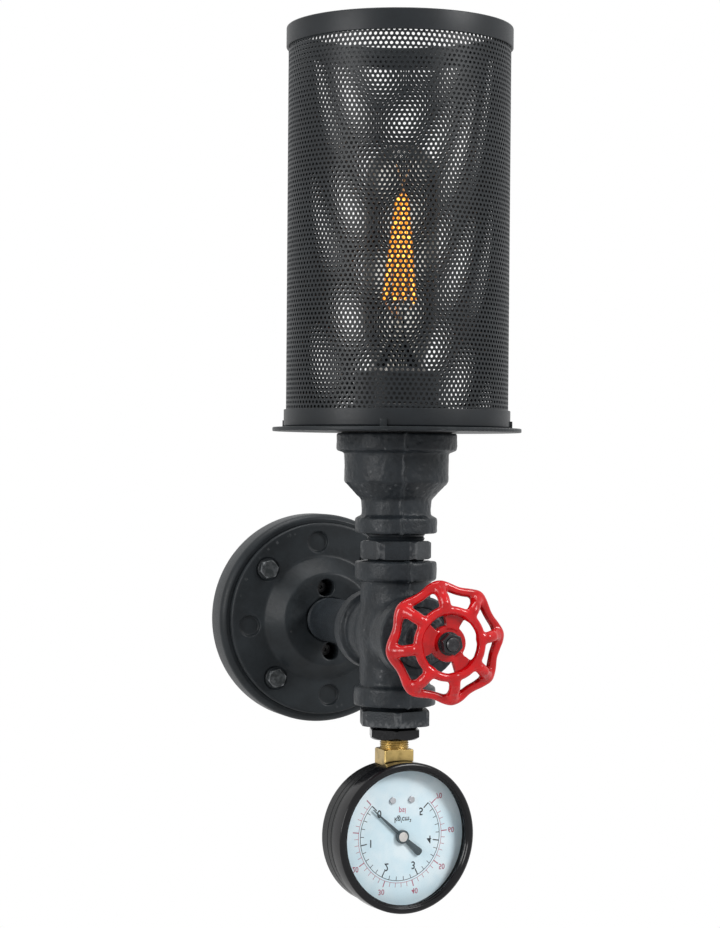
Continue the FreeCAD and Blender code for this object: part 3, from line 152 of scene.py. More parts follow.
def cast_mesh(name, field, low, high, step, layers, seed):
    """Mesh of the space where field(x, y, z) is below zero, with a rough cast surface."""
    limit = 3 * step
    axes = [np.arange(a - limit, b + limit, step, dtype=np.float32) for a, b in zip(low, high)]
    values = field(*np.meshgrid(*axes, indexing="ij"))
    grid = openvdb.FloatGrid(background=limit)
    grid.copyFromArray(np.clip(values, -limit, limit).astype(np.float32))
    grid.transform = openvdb.createLinearTransform(voxelSize=step)
    points, quads = grid.convertToQuads(isovalue=0.0)
    points = points + np.array([axis[0] for axis in axes])
    return quads_mesh(name, roughened(points, quads, layers, seed), quads)


def blended(a, b, k):
    """Union of two fields with a fillet of about k."""
    h = np.clip(0.5 + 0.5 * (b - a) / k, 0, 1)
    return b + (a - b) * h - k * h * (1 - h)


def carved(a, b, k=0.3):
    """Field a with field b cut out of it, its edges eased by about k."""
    return -blended(-a, b, k)


def outline_distance(points, u, v):
    """Signed distance from a closed outline in a plane."""
    best = np.full(np.broadcast(u, v).shape, 1e9)
    inside = np.zeros(best.shape, bool)
    for (u0, v0), (u1, v1) in zip(points, points[1:] + points[:1]):
        du, dv = u1 - u0, v1 - v0
        t = np.clip(((u - u0) * du + (v - v0) * dv) / (du * du + dv * dv + 1e-12), 0, 1)
        best = np.minimum(best, (u - u0 - t * du) ** 2 + (v - v0 - t * dv) ** 2)
        if v0 != v1:
            crosses = (v0 > v) != (v1 > v)
            inside ^= crosses & (u < u0 + (v - v0) * du / dv)
    return np.where(inside, -np.sqrt(best), np.sqrt(best))


def blurred(table, radius):
    """Table smoothed along both of its axes."""
    reach = int(3 * radius)
    weights = np.exp(-0.5 * (np.arange(-reach, reach + 1) / radius) ** 2)
    weights /= weights.sum()
    for axis in (0, 1):
        margins = [(reach, reach) if i == axis else (0, 0) for i in (0, 1)]
        padded = np.pad(table, margins, mode="edge")
        count = table.shape[axis]
        table = sum(w * np.take(padded, range(i, i + count), axis) for i, w in enumerate(weights))
    return table


def turned_field(points, soft=0.4):
    """Field of a turned solid from its (radius, height) outline, all its edges softened."""
    fine = 0.2
    margin = 5.0
    radii = [p[0] for p in points]
    heights = [p[1] for p in points]
    u = np.arange(-margin, max(radii) + margin, fine)
    v = np.arange(min(heights) - margin, max(heights) + margin, fine)
    mirrored = [(r if r else -margin * 2, h) for r, h in points]
    table = blurred(outline_distance(mirrored, u[:, None], v[None, :]), soft / fine)

    def field(x, y, z):
        i = np.clip((np.hypot(x, y) - u[0]) / fine, 0, len(u) - 1.001)
        j = np.clip((z - v[0]) / fine, 0, len(v) - 1.001)
        i0, j0 = i.astype(np.int32), j.astype(np.int32)
        s, t = i - i0, j - j0
        return (
            table[i0, j0] * (1 - s) * (1 - t) + table[i0 + 1, j0] * s * (1 - t)
            + table[i0, j0 + 1] * (1 - s) * t + table[i0 + 1, j0 + 1] * s * t)

    return field


def rod_field(radius, low, high, x0=0.0, y0=0.0):
    """Field of a round bar along Z."""
    return lambda x, y, z: np.maximum(
        np.hypot(x - x0, y - y0) - radius, np.maximum(low - z, z - high))


def rounded_path(corners, step_degrees=11):
    """Points of a closed outline whose corners (u, v[, radius]) are rounded."""
    path = []
    count = len(corners)
    for i, corner in enumerate(corners):
        here = Vector(corner[:2])
        radius = corner[2] if len(corner) > 2 else 0
        if not radius:
            path.append(tuple(here))
            continue
        before = (Vector(corners[i - 1][:2]) - here).normalized()
        after = (Vector(corners[(i + 1) % count][:2]) - here).normalized()
        half = before.angle(after) / 2
        centre = here + (before + after).normalized() * (radius / math.sin(half))
        start = here + before * (radius / math.tan(half)) - centre
        end = here + after * (radius / math.tan(half)) - centre
        swing = math.atan2(start.x * end.y - start.y * end.x, start.dot(end))
        steps = max(3, round(abs(math.degrees(swing)) / step_degrees))
        for k in range(steps + 1):
            angle = swing * k / steps
            path.append((
                centre.x + start.x * math.cos(angle) - start.y * math.sin(angle),
                centre.y + start.x * math.sin(angle) + start.y * math.cos(angle)))
    return path


def lathe_mesh(name, corners, segments):
    """Turned mesh from a closed outline of (radius, height[, rounding]) corners."""
    on_axis_r = 1e-6
    path = rounded_path(corners)
    points, faces, starts = [], [], []
    for radius, height in path:
        starts.append(len(points))
        if radius < on_axis_r:
            points.append((0.0, 0.0, height))
            continue
        for k in range(segments):
            angle = 2 * math.pi * k / segments
            points.append((radius * math.cos(angle), radius * math.sin(angle), height))
    count = len(path)
    for i in range(count):
        j = (i + 1) % count
        on_axis = path[i][0] < on_axis_r, path[j][0] < on_axis_r
        if all(on_axis):
            continue
        for k in range(segments):
            m = (k + 1) % segments
            a, b = [starts[i] + (0 if on_axis[0] else n) for n in (k, m)]
            c, d = [starts[j] + (0 if on_axis[1] else n) for n in (m, k)]
            faces.append(list(dict.fromkeys((a, b, c, d))))
    area = sum(u0 * v1 - u1 * v0 for (u0, v0), (u1, v1) in zip(path, path[1:] + path[:1]))
    if area < 0:
        faces = [face[::-1] for face in faces]
    return mesh_of(name, points, faces, sharp_degrees=32)


# Materials

class Graph:
    """A material's node tree with a principled shader."""

    def __init__(self, name, shader="ShaderNodeBsdfPrincipled"):
        self.material = bpy.data.materials.new(name)
        self.material.use_nodes = True
        self.tree = self.material.node_tree
        self.tree.nodes.clear()
        self.output = self.tree.nodes.new("ShaderNodeOutputMaterial")
        self.shader = self.tree.nodes.new(shader)
        self.tree.links.new(self.shader.outputs[0], self.output.inputs["Surface"])
        self.coords = self.tree.nodes.new("ShaderNodeTexCoord").outputs["Object"]

    def set(self, target, value):
        """Give a socket a value, or link it to another socket."""
        if isinstance(value, bpy.types.NodeSocket):
            self.tree.links.new(value, target)
        elif target.type == "RGBA":
            target.default_value = (*value[:3], 1.0)
        else:
            target.default_value = value

    def shade(self, **values):
        """Set the shader's sockets; an underscore stands for a space."""
        for name, value in values.items():
            self.set(self.shader.inputs[name.replace("_", " ")], value)

    def maths(self, operation, a, b):
        """Result of a sum of two values."""
        node = self.tree.nodes.new("ShaderNodeMath")
        node.operation = operation
        for socket, value in zip(node.inputs, (a, b)):
            self.set(socket, value)
        return node.outputs[0]

    def noise(self, size, detail, rough=0.55, coords=None):
        """Noise from 0 to 1 with features of about this many millimetres."""
        node = self.tree.nodes.new("ShaderNodeTexNoise")
        self.set(node.inputs["Vector"], coords or self.coords)
        node.inputs["Scale"].default_value = 1 / (size * MM)
        node.inputs["Detail"].default_value = detail
        node.inputs["Roughness"].default_value = rough
        return node.outputs[0]

    def stretched(self, x, y, z):
        """The piece's coordinates, scaled along each axis."""
        node = self.tree.nodes.new("ShaderNodeMapping")
        self.set(node.inputs["Vector"], self.coords)
        node.inputs["Scale"].default_value = (x, y, z)
        return node.outputs[0]

    def cells(self, size):
        """Distance to the middle of the nearest cell of about this many millimetres."""
        node = self.tree.nodes.new("ShaderNodeTexVoronoi")
        self.set(node.inputs["Vector"], self.coords)
        node.inputs["Scale"].default_value = 1 / (size * MM)
        return node.outputs["Distance"]

    def span(self, value, low, high, to_low=0.0, to_high=1.0):
        """Map a value's range onto another, and hold it there."""
        node = self.tree.nodes.new("ShaderNodeMapRange")
        node.interpolation_type = "SMOOTHSTEP"
        for name, given in (("Value", value), ("From Min", low), ("From Max", high),
                            ("To Min", to_low), ("To Max", to_high)):
            self.set(node.inputs[name], given)
        return node.outputs[0]

    def mix(self, factor, a, b):
        """Colour a blended into colour b."""
        node = self.tree.nodes.new("ShaderNodeMix")
        node.data_type = "RGBA"
        self.set(node.inputs[0], factor)
        self.set(node.inputs[6], a)
        self.set(node.inputs[7], b)
        return node.outputs[2]

    def edges(self, low, high):
        """How much a place is a raised edge, or a hollow where low is above high."""
        node = self.tree.nodes.new("ShaderNodeNewGeometry")
        return self.span(node.outputs["Pointiness"], low, high)

    def bump(self, height, depth, strength=1.0, normal=None):
        """Normal from a height of 0 to 1 that stands for this many millimetres."""
        node = self.tree.nodes.new("ShaderNodeBump")
        node.inputs["Strength"].default_value = strength
        node.inputs["Distance"].default_value = depth * MM
        self.set(node.inputs["Height"], height)
        if normal:
            self.set(node.inputs["Normal"], normal)
        return node.outputs[0]


def scaled(colour, factor):
    """Colour made lighter or darker."""
    return tuple(min(1.0, c * factor) for c in colour)


def painted(name, colour, rough, grain, depth, specular, worn=0.0,
            worn_colour=(0.16, 0.165, 0.17), mottle=0.25, specks=0.0):
    """Paint or scale on metal: mottled, with fine grain and edges that show a lighter tone."""
    g = Graph(name)
    patches = g.noise(9.0, 3.0)
    fine = g.noise(grain, 3.0, 0.6)
    tone = g.mix(g.span(patches, 0.3, 0.7), scaled(colour, 1 - mottle), scaled(colour, 1 + mottle))
    tone = g.mix(g.span(fine, 0.35, 0.75, 0.0, 0.35), tone, scaled(colour, 1.7))
    if specks:
        dots = g.span(g.cells(1.6), 0.16, 0.05, 0.0, specks)
        where = g.span(g.noise(2.4, 1.0), 0.55, 0.7)
        tone = g.mix(g.maths("MULTIPLY", dots, where), tone, worn_colour)
    if worn:
        where = g.span(g.noise(1.8, 3.0), 0.4, 0.65, 0.15, 1.0)
        rubbed = g.maths("MULTIPLY", g.edges(0.52, 0.6), where)
        tone = g.mix(g.maths("MULTIPLY", rubbed, worn), tone, worn_colour)
    g.shade(Base_Color=tone, Specular_IOR_Level=specular,
            Roughness=g.span(fine, 0.25, 0.75, rough - 0.07, rough + 0.09))
    soft = g.bump(patches, depth * 2.5, 0.5)
    g.shade(Normal=g.bump(fine, depth, 1.0, soft))
    return g.material


def metal(name, colour, rough, grain=0.5, stretch=(1, 1, 1), depth=0.01,
          tarnish=(0.2, 0.15, 0.08), tarnished=0.25, metallic=1.0):
    """Bare metal with drawn or turned marks and a little tarnish."""
    g = Graph(name)
    marks = g.noise(grain, 3.0, 0.6, g.stretched(*stretch))
    patches = g.noise(4.0, 4.0, 0.6)
    tone = g.mix(g.span(patches, 0.45, 0.75, 0.0, tarnished), colour, tarnish)
    tone = g.mix(g.span(marks, 0.3, 0.7, 0.0, 0.3), tone, scaled(colour, 0.7))
    g.shade(Base_Color=tone, Roughness=g.span(marks, 0.25, 0.75, rough - 0.08, rough + 0.12),
            Normal=g.bump(marks, depth), Metallic=metallic)
    return g.material


def moulded(name, colour, rough):
    """Plastic, rubber, ceramic or varnish with a faint texture."""
    g = Graph(name)
    fine = g.noise(0.4, 2.0)
    patches = g.noise(5.0, 2.0)
    tone = g.mix(g.span(patches, 0.3, 0.7), scaled(colour, 0.86), scaled(colour, 1.12))
    g.shade(Base_Color=tone, Roughness=g.span(fine, 0.3, 0.7, rough - 0.05, rough + 0.08),
            Normal=g.bump(fine, 0.006))
    return g.material


def enamel():
    """Thick glossy red paint on a rough casting, with painted shade in its hollows and a painted
    highlight on its raised edges.
    """
    g = Graph("red_enamel")
    patches = g.noise(7.0, 3.0)
    fine = g.noise(0.9, 3.0, 0.6)
    red = (0.5, 0.002, 0.004)
    tone = g.mix(g.span(patches, 0.3, 0.7), scaled(red, 0.82), scaled(red, 1.1))
    hollow_shade, edge_highlight = (0.13, 0.0, 0.002), (0.72, 0.03, 0.025)
    # Painted shade: the hollows are darkened towards deep red.
    tone = g.mix(g.maths("MULTIPLY", g.edges(0.505, 0.44), 0.8), tone, hollow_shade)
    # Painted highlight: raised edges are lightened towards bright red.
    tone = g.mix(g.maths("MULTIPLY", g.edges(0.53, 0.62), 0.3), tone, edge_highlight)
    g.shade(Base_Color=tone, Specular_IOR_Level=0.36, Roughness=g.span(fine, 0.3, 0.7, 0.12, 0.22),
            Normal=g.bump(fine, 0.012, 0.8, g.bump(patches, 0.1, 0.6)))
    return g.material


def clear(name, tint, shine, smear=0.0):
    """Thin clear glass: what is behind it, with reflections that grow towards the rim."""
    g = Graph(name, "ShaderNodeMixShader")
    through = g.tree.nodes.new("ShaderNodeBsdfTransparent")
    through.inputs["Color"].default_value = (*tint, 1.0)
    glossy = g.tree.nodes.new("ShaderNodeBsdfPrincipled")
    glossy.inputs["Base Color"].default_value = (0.02, 0.02, 0.022, 1.0)
    glossy.inputs["Roughness"].default_value = 0.05
    rim = g.tree.nodes.new("ShaderNodeFresnel")
    rim.inputs["IOR"].default_value = 1.45
    amount = g.maths("MULTIPLY", rim.outputs[0], shine)
    if smear:
        amount = g.maths("ADD", amount, g.span(g.noise(3.0, 3.0), 0.5, 0.8, 0.0, smear))
    g.set(g.shader.inputs[0], amount)
    g.tree.links.new(through.outputs[0], g.shader.inputs[1])
    g.tree.links.new(glossy.outputs[0], g.shader.inputs[2])
    return g.material


def glowing():
    """Lit strand: amber, with small brighter dots along it."""
    g = Graph("strand_glow")
    amber, bright = (1.0, 0.5, 0.1), (1.0, 0.66, 0.22)
    strength = 4.5
    dots = g.span(g.noise(1.5, 1.0), 0.42, 0.62)
    g.shade(Base_Color=amber, Roughness=0.4, Emission_Color=g.mix(dots, amber, bright),
            Emission_Strength=g.maths("MULTIPLY", g.span(dots, 0, 1, 0.6, 1.5), strength))
    return g.material


def coated_glow():
    """Amber coat round a lit core, half clear."""
    g = Graph("coat_glow", "ShaderNodeMixShader")
    through = g.tree.nodes.new("ShaderNodeBsdfTransparent")
    through.inputs["Color"].default_value = (1.0, 0.8, 0.5, 1.0)
    light = g.tree.nodes.new("ShaderNodeEmission")
    light.inputs["Color"].default_value = (1.0, 0.33, 0.03, 1.0)
    light.inputs["Strength"].default_value = 1.1
    g.set(g.shader.inputs[0], g.span(g.noise(1.2, 2.0), 0.3, 0.7, 0.45, 0.75))
    g.tree.links.new(through.outputs[0], g.shader.inputs[1])
    g.tree.links.new(light.outputs[0], g.shader.inputs[2])
    return g.material


def dial_face():
    """Bluish white printed sheet."""
    g = Graph("dial_face")
    patches = g.noise(14.0, 3.0)
    fine = g.noise(0.5, 2.0)
    tone = g.mix(g.span(patches, 0.35, 0.7), (0.66, 0.83, 0.90), (0.80, 0.91, 0.95))
    g.shade(Base_Color=tone, Roughness=g.span(fine, 0.3, 0.7, 0.35, 0.45),
            Normal=g.bump(fine, 0.003))
    return g.material


# Colour, roughness, size and depth of the grain in millimetres, and gloss
CAST = painted("cast_iron_black", (0.0125, 0.0155, 0.0185), 0.4, 0.75, 0.16, 0.22, worn=0.45,
               specks=0.25)
PLATE = painted("plate_black", (0.010, 0.0125, 0.0145), 0.44, 0.6, 0.035, 0.2, worn=0.3)
SHADE = painted("shade_black", (0.0095, 0.0115, 0.0135), 0.42, 0.5, 0.014, 0.22, mottle=0.15)
GLOSS = painted("gloss_black", (0.004, 0.004, 0.005), 0.16, 0.9, 0.006, 0.24, mottle=0.2)
CASE = painted("case_black", (0.005, 0.0055, 0.006), 0.3, 0.7, 0.008, 0.24, mottle=0.2)
NUT = painted("nut_black", (0.008, 0.008, 0.010), 0.28, 0.7, 0.03, 0.35, worn=0.5)
BOLT = painted("bolt_black", (0.015, 0.018, 0.019), 0.42, 0.5, 0.07, 0.25, worn=0.9,
               worn_colour=(0.2, 0.21, 0.22), specks=0.4)
RED = enamel()
ZINC = metal("zinc_steel", (0.5, 0.5, 0.52), 0.35)
BRASS = metal("brass_turned", (0.47, 0.34, 0.13), 0.34, 0.6, (1, 1, 3), 0.05,
              (0.13, 0.09, 0.03), 0.6)
NICKEL = metal("nickel", (0.6, 0.58, 0.55), 0.25)
HOLDER = moulded("holder_black", (0.012, 0.012, 0.013), 0.42)
CERAMIC = moulded("ceramic_white", (0.7, 0.69, 0.65), 0.4)
RUBBER = moulded("rubber_black", (0.012, 0.012, 0.012), 0.7)
DIAL = dial_face()
NEEDLE = moulded("needle_slate", (0.05, 0.072, 0.082), 0.35)
SILVER = metal("needle_cap", (0.68, 0.65, 0.62), 0.4, metallic=0.5)
INK = moulded("ink_black", (0.015, 0.02, 0.025), 0.5)
RED_INK = moulded("ink_red", (0.44, 0.13, 0.19), 0.5)
BULB_GLASS = clear("bulb_clear", (0.93, 0.925, 0.91), 0.55)
WINDOW = clear("window_clear", (0.985, 0.99, 0.995), 0.35)
STEM_GLASS = clear("stem_clear", (0.85, 0.84, 0.82), 1.0, 0.1)
GLOW = glowing()
GLOW_COAT = coated_glow()
# The bulb's support wires are bare metal; their amber colour is a painted glint of the lit strands.
AMBER_GLINT_WIRE = metal("wire_amber_glint", (0.85, 0.5, 0.25), 0.3)
BLACK_GLASS = moulded("insulator_black", (0.01, 0.01, 0.01), 0.15)
BROWN = moulded("wire_brown", (0.12, 0.04, 0.015), 0.45)
BLUE = moulded("wire_blue", (0.02, 0.07, 0.3), 0.45)
GREEN = moulded("wire_green", (0.1, 0.3, 0.05), 0.45)

# Material of each piece of the frame; those that a piece below replaces are among them
WORN_BY = [
    (CAST, "hex_nipple hex_bushing bonnet gland_nut pipe_nipple flange_plate canopy_shell"
           " cross_fitting reducing_coupling back_bushing"),
    (BOLT, "flange_bolts"),
    (PLATE, "shade_plate"),
    (SHADE, "shade_mesh shade_top_rim shade_bottom_band"),
    (GLOSS, "reducing_bushing gauge_bezel"),
    (CASE, "gauge_case"),
    (NUT, "wheel_nut wheel_washer valve_stem canopy_screws"),
    (RED, "handwheel"),
    (ZINC, "wall_bracket earth_screw fixing_disc fixing_tube tube_nut stem_clip dial_screws"),
    (BRASS, "gauge_stem stem_collar screw_shell centre_contact gauge_spindle sector_gear tube_link"
            " movement_frame bourdon_tube"),
    (NICKEL, "bulb_cap bulb_contact bulb_supports"),
    (HOLDER, "holder_body holder_ring"),
    (CERAMIC, "holder_insert terminal_block"),
    (RUBBER, "plate_gasket stem_packing"),
    (DIAL, "gauge_dial"),
    (NEEDLE, "gauge_needle"),
    (BULB_GLASS, "bulb_glass"),
    (WINDOW, "gauge_window"),
    (STEM_GLASS, "bulb_stem"),
    (GLOW, "bulb_filament"),
    (BLACK_GLASS, "bulb_insulator"),
    (BROWN, "live_wire"),
    (BLUE, "neutral_wire"),
    (GREEN, "earth_wire"),
]
for material, names in WORN_BY:
    for name in names.split():
        nodes[name].data.materials.clear()
        nodes[name].data.materials.append(material)


# Pipework, cast

BAND_R = 18.5               # banded port
BORE_R = 11.6
THREAD_R = 13.2             # inside a port
PORT_FLOOR = 18.1           # where the thread ends, from the middle


def cross_field(x, y, z):
    """Four-way fitting about its own middle, ports along Y and Z, with a parting ridge."""
    neck_r, neck_end, band_start = 15.85, 23.2, 24.4
    branch = turned_field([
        (0, -CROSS_REACH), (BAND_R, -CROSS_REACH), (BAND_R, -band_start), (neck_r, -neck_end),
        (neck_r, neck_end), (BAND_R, band_start), (BAND_R, CROSS_REACH), (0, CROSS_REACH),
    ], 0.55)
    body = blended(branch(x, y, z), branch(x, z, y), 4.0)
    body = blended(body, np.sqrt(x * x + y * y + z * z) - 17.2, 3.0)
    body = body - 0.6 * np.exp(-((x + 0.25 * np.sin(0.8 * (y + z))) / 0.8) ** 2)
    past = 40.0                 # beyond the ends
    body = carved(body, rod_field(BORE_R, -past, past)(x, y, z))
    body = carved(body, rod_field(BORE_R, -past, past)(x, z, y))
    for low in (PORT_FLOOR, -past):
        port = rod_field(THREAD_R, low, low + past - PORT_FLOOR)
        body = carved(body, port(x, y, z))
        body = carved(body, port(x, z, y))
    return body


add_piece(cast_mesh("cross_body", cross_field, (-19.5, -33.5, -33.5), (19.5, 33.5, 33.5), 0.42,
                    [(5.0, 0.14), (1.7, 0.11)], 11),
          ON_PIPE_AXIS, "lamp", CAST, ["cross_fitting"])


def coupling_field(x, y, z):
    """Reducing coupling on the pipe axis with a parting ridge."""
    shape = turned_field([
        (THREAD_R, 45.1), (BAND_R, 45.1), (BAND_R, 52.1), (15.75, 53.4), (15.75, 60.2),
        (23.6, 68.4), (23.6, 81.3), (27.2, 82.7), (27.2, 90.3), (19.4, 90.3), (19.4, 72.0),
        (12.0, 72.0), (12.0, 59.0), (THREAD_R, 59.0),
    ], 0.5)(x, y, z)
    turn = math.radians(-11.3)  # of the ridge round the pipe
    across = x * math.cos(turn) + y * math.sin(turn) + 0.22 * np.sin(z * 0.9)
    outside = np.clip((np.hypot(x, y) - 13.5) / 2, 0, 1)
    return shape - 0.65 * np.exp(-(across / 0.7) ** 2) * outside


add_piece(cast_mesh("coupling_body", coupling_field, (-28, -28, 45), (28, 28, 90.4), 0.42,
                    [(5.0, 0.14), (1.6, 0.13)], 23),
          ON_PIPE_AXIS, "lamp", CAST, ["reducing_coupling"])

BOLT_TURN = 4.66
BOLT_CIRCLE_R = 37.94
WELL_CIRCLE_R = 15.6


def on_circle(radius, degrees):
    """Place on a circle about the middle."""
    return radius * math.cos(math.radians(degrees)), radius * math.sin(math.radians(degrees))


def plate_field(x, y, z):
    """Front plate of the wall flange; Z is the depth in front of the wall."""
    body = turned_field([
        (10.75, 14.0), (24.0, 14.0), (24.0, 17.05), (47.2, 17.05), (47.2, 20.5), (30.6, 20.5),
        (22.5, 28.5), (19.5, 28.5), (12.25, 27.5), (10.75, 27.5),
    ], 0.4)(x, y, z)
    hub = np.clip((z - 21.0) / 3, 0, 1)
    body = body + 0.12 * hub * np.sin(7 * np.arctan2(y, x) + 1.0)
    for i in range(4):
        px, py = on_circle(BOLT_CIRCLE_R, 90 * i + BOLT_TURN)
        body = carved(body, rod_field(5.0, 18.6, 30, px, py)(x, y, z), 0.45)
        px, py = on_circle(BOLT_CIRCLE_R, 90 * i + 45 + BOLT_TURN)
        round_bolt = np.maximum(
            rod_field(5.5, 19.7, 30, px, py)(x, y, z), 4.9 - np.hypot(x - px, y - py))
        body = carved(body, round_bolt, 0.4)
    for i in range(2):
        px, py = on_circle(WELL_CIRCLE_R, 90 + 180 * i + BOLT_TURN)
        body = carved(body, rod_field(4.2, 16.0, 40, px, py)(x, y, z), 0.5)
    return body


add_piece(cast_mesh("flange_face", plate_field, (-48, -48, 13.5), (48, 48, 29), 0.5,
                    [(8.0, 0.06), (1.5, 0.03)], 5),
          facing_front(0), "lamp", PLATE, ["flange_plate"])
add_piece(lathe_mesh("canopy_cup", [
    (49.5, 0.0), (51.5, 0.0, 0.4), (51.5, 17.0, 4.0), (48.6, 17.0, 0.5), (48.4, 16.6),
    (47.4, 16.6), (47.2, 16.99), (30.0, 16.99), (30.0, 14.0), (49.5, 14.0, 2.0)], 256),
    facing_front(0), "lamp", PLATE, ["canopy_shell"])


# Handwheel

SPOKES = 8
SPOKE_TURN = 8.0


def box_distance(u, v, half_u, half_v, rounding):
    """Distance from a rectangle with rounded corners."""
    du, dv = np.abs(u) - half_u + rounding, np.abs(v) - half_v + rounding
    outside = np.hypot(np.maximum(du, 0), np.maximum(dv, 0))
    return outside + np.minimum(np.maximum(du, dv), 0) - rounding


def capsule_distance(x, y, z, start, end, radius):
    """Distance from a bar with round ends."""
    axis = np.subtract(end, start)
    along = (x - start[0]) * axis[0] + (y - start[1]) * axis[1] + (z - start[2]) * axis[2]
    t = np.clip(along / (axis @ axis), 0, 1)
    return np.sqrt((x - start[0] - t * axis[0]) ** 2 + (y - start[1] - t * axis[1]) ** 2
                   + (z - start[2] - t * axis[2]) ** 2) - radius


def wheel_field(x, y, z):
    """Cast wheel: lobed rim, arched spokes, forward ring, three arms and a hub."""
    r = np.hypot(x, y)
    theta = np.degrees(np.arctan2(y, x))
    lobe = np.cos(np.radians(SPOKES * (theta - SPOKE_TURN)))
    rim = box_distance(r - 23.75 - 0.85 * lobe, z, 2.1 + 0.25 * lobe, 2.05, 1.7)
    step = 360 / SPOKES
    folded = np.radians((theta - SPOKE_TURN + step / 2) % step - step / 2)
    u, v = r * np.cos(folded), r * np.sin(folded)
    path = [(14.6, 5.6), (17.4, 5.7), (20.0, 4.3), (22.3, 1.9), (24.0, 0.2)]
    spoke_r = 1.9
    body = rim
    for (u0, z0), (u1, z1) in zip(path, path[1:]):
        body = blended(body, capsule_distance(u, v, z, (u0, 0, z0), (u1, 0, z1), spoke_r), 2.2)
    ring = box_distance(r - 14.4, z - 5.7, 1.85, 2.0, 1.75)
    body = blended(body, ring, 1.6)
    boss = turned_field([(0, -4.1), (6.4, -4.1), (7.9, 1.5), (7.9, 4.5), (0, 4.5)], 0.4)(x, y, z)
    disc = np.maximum(np.abs(r - 10.4) - 3.6, np.abs(z - 3.1) - 1.5)
    arms = []
    for first, last in ((56, 98), (136, 207), (285, 324)):
        middle, half = (first + last) / 2, (last - first) / 2
        aside = np.abs((theta - middle + 180) % 360 - 180) - half
        arms.append(np.maximum(disc, np.radians(aside) * r))
    body = blended(blended(body, np.minimum.reduce(arms), 1.0), boss, 1.0)
    square_hole = np.maximum(np.abs(x), np.abs(y)) - 3.0
    return carved(body, square_hole)


add_piece(cast_mesh("wheel_casting", wheel_field, (-27.5, -27.5, -4.5), (27.5, 27.5, 8.2), 0.3,
                    [(4.0, 0.14), (1.6, 0.035)], 37),
          facing_front(STAND_OFF + WHEEL_REACH), "wheel", RED, ["handwheel"])


def hexagon_field(x, y, z, flats, low, high, chamfer_r, turn):
    """Six-sided head along Z whose front corners are turned off."""
    angles = [math.radians(turn + 60 * i) for i in range(3)]
    sides = [x * math.cos(a) + y * math.sin(a) for a in angles]
    body = np.maximum.reduce([np.abs(side) for side in sides]) - flats / 2
    body = np.maximum(body, np.maximum(low - z, z - high))
    return np.maximum(body, (np.hypot(x, y) - chamfer_r + (z - high) * 1.6) * 0.53)


def wheel_nut_field(x, y, z):
    """Nut on a small washer, with the stem's thread showing as a dark groove."""
    nut = hexagon_field(x, y, z, 8.4, 5.2, 9.4, 4.2, 12)
    washer = np.maximum(np.hypot(x, y) - 5.1, np.maximum(4.45 - z, z - 5.25))
    body = np.minimum(nut, washer)
    return carved(body, rod_field(3.05, 0, 20)(x, y, z), 0.2)


add_piece(cast_mesh("wheel_nut_hex", wheel_nut_field, (-5.2, -5.2, 4.4), (5.2, 5.2, 9.5), 0.14,
                    [(1.2, 0.02)], 51),
          facing_front(STAND_OFF + WHEEL_REACH), "wheel", NUT,
          ["wheel_nut", "wheel_washer"])


# Shade

SHADE_R = 50.2
SHEET_WALL = 0.7
HOLES_ROUND = 134
HOLE_ROWS = 84
HOLE_R = 0.74
FIRST_ROW = 99.56
SHADE_BOTTOM, SHADE_TOP = 92.8, 272.0
HOLE_SIDES = 12
PITCH = 2 * math.pi * SHADE_R / HOLES_ROUND
ROW_STEP = PITCH * math.sqrt(0.75)
ROWS_LOST_ROUND = 2         # rolled a little askew: rows drop by this many in one turn
ROW_SLOPE = ROWS_LOST_ROUND * ROW_STEP / (2 * math.pi * SHADE_R)


def perforated_mesh(name, first, last):
    """Stretch of the perforated tube, from one hole to another of each row."""
    corner = [on_circle(PITCH / math.sqrt(3), 30 + 60 * k) for k in range(6)]
    hole = [on_circle(HOLE_R, 15 + 360 / HOLE_SIDES * k) for k in range(HOLE_SIDES)]
    flat, index, faces, walls, border = [], {}, [], [], {}

    def at(u, v):
        """Number of the point at a place of the flat sheet."""
        key = (round(u, 4), round(v, 4))
        if key not in index:
            index[key] = len(flat)
            flat.append((u, v))
        return index[key]

    def edge(a, b):
        """Note a cell's edge; an edge that two cells share isn't on the border."""
        if (b, a) in border:
            del border[(b, a)]
        else:
            border[(a, b)] = True

    for row in range(HOLE_ROWS):
        v0 = FIRST_ROW + row * ROW_STEP
        for column in range(first, last):
            u0 = (column + 0.5 * (row % 2)) * PITCH
            c = [at(u0 + du, v0 + dv) for du, dv in corner]
            h = [at(u0 + du, v0 + dv) for du, dv in hole]
            for k in range(6):
                a, b = c[k], c[(k + 1) % 6]
                h0, h1, h2 = [h[(2 * k + n) % HOLE_SIDES] for n in range(3)]
                faces.append((a, b, h2, h1))
                faces.append((a, h1, h0))
                edge(a, b)
            for k in range(HOLE_SIDES):
                walls.append((h[(k + 1) % HOLE_SIDES], h[k]))
            if row in (0, HOLE_ROWS - 1):
                at_foot = row == 0
                level = SHADE_BOTTOM if at_foot else SHADE_TOP
                left, tip, right = (c[3], c[4], c[5]) if at_foot else (c[2], c[1], c[0])
                end_left, end_right = at(flat[left][0], level), at(flat[right][0], level)
                face = (left, end_left, end_right, right, tip)
                face = face if at_foot else face[::-1]
                faces.append(face)
                for a, b in zip(face, face[1:] + face[:1]):
                    edge(a, b)
    count = len(flat)
    points = np.array(flat)
    on_edge = (points[:, 1] == SHADE_BOTTOM) | (points[:, 1] == SHADE_TOP)
    points[:, 1] -= np.where(on_edge, 0, ROW_SLOPE * points[:, 0])
    angle = points[:, 0] / SHADE_R
    sides = [np.stack([r * np.cos(angle), r * np.sin(angle), points[:, 1]], 1)
             for r in (SHADE_R, SHADE_R - SHEET_WALL)]
    all_faces = faces + [tuple(count + i for i in face[::-1]) for face in faces]
    all_faces += [(b, a, count + a, count + b) for a, b in (*walls, *border)]
    return mesh_of(name, np.concatenate(sides), all_faces, sharp_degrees=30)


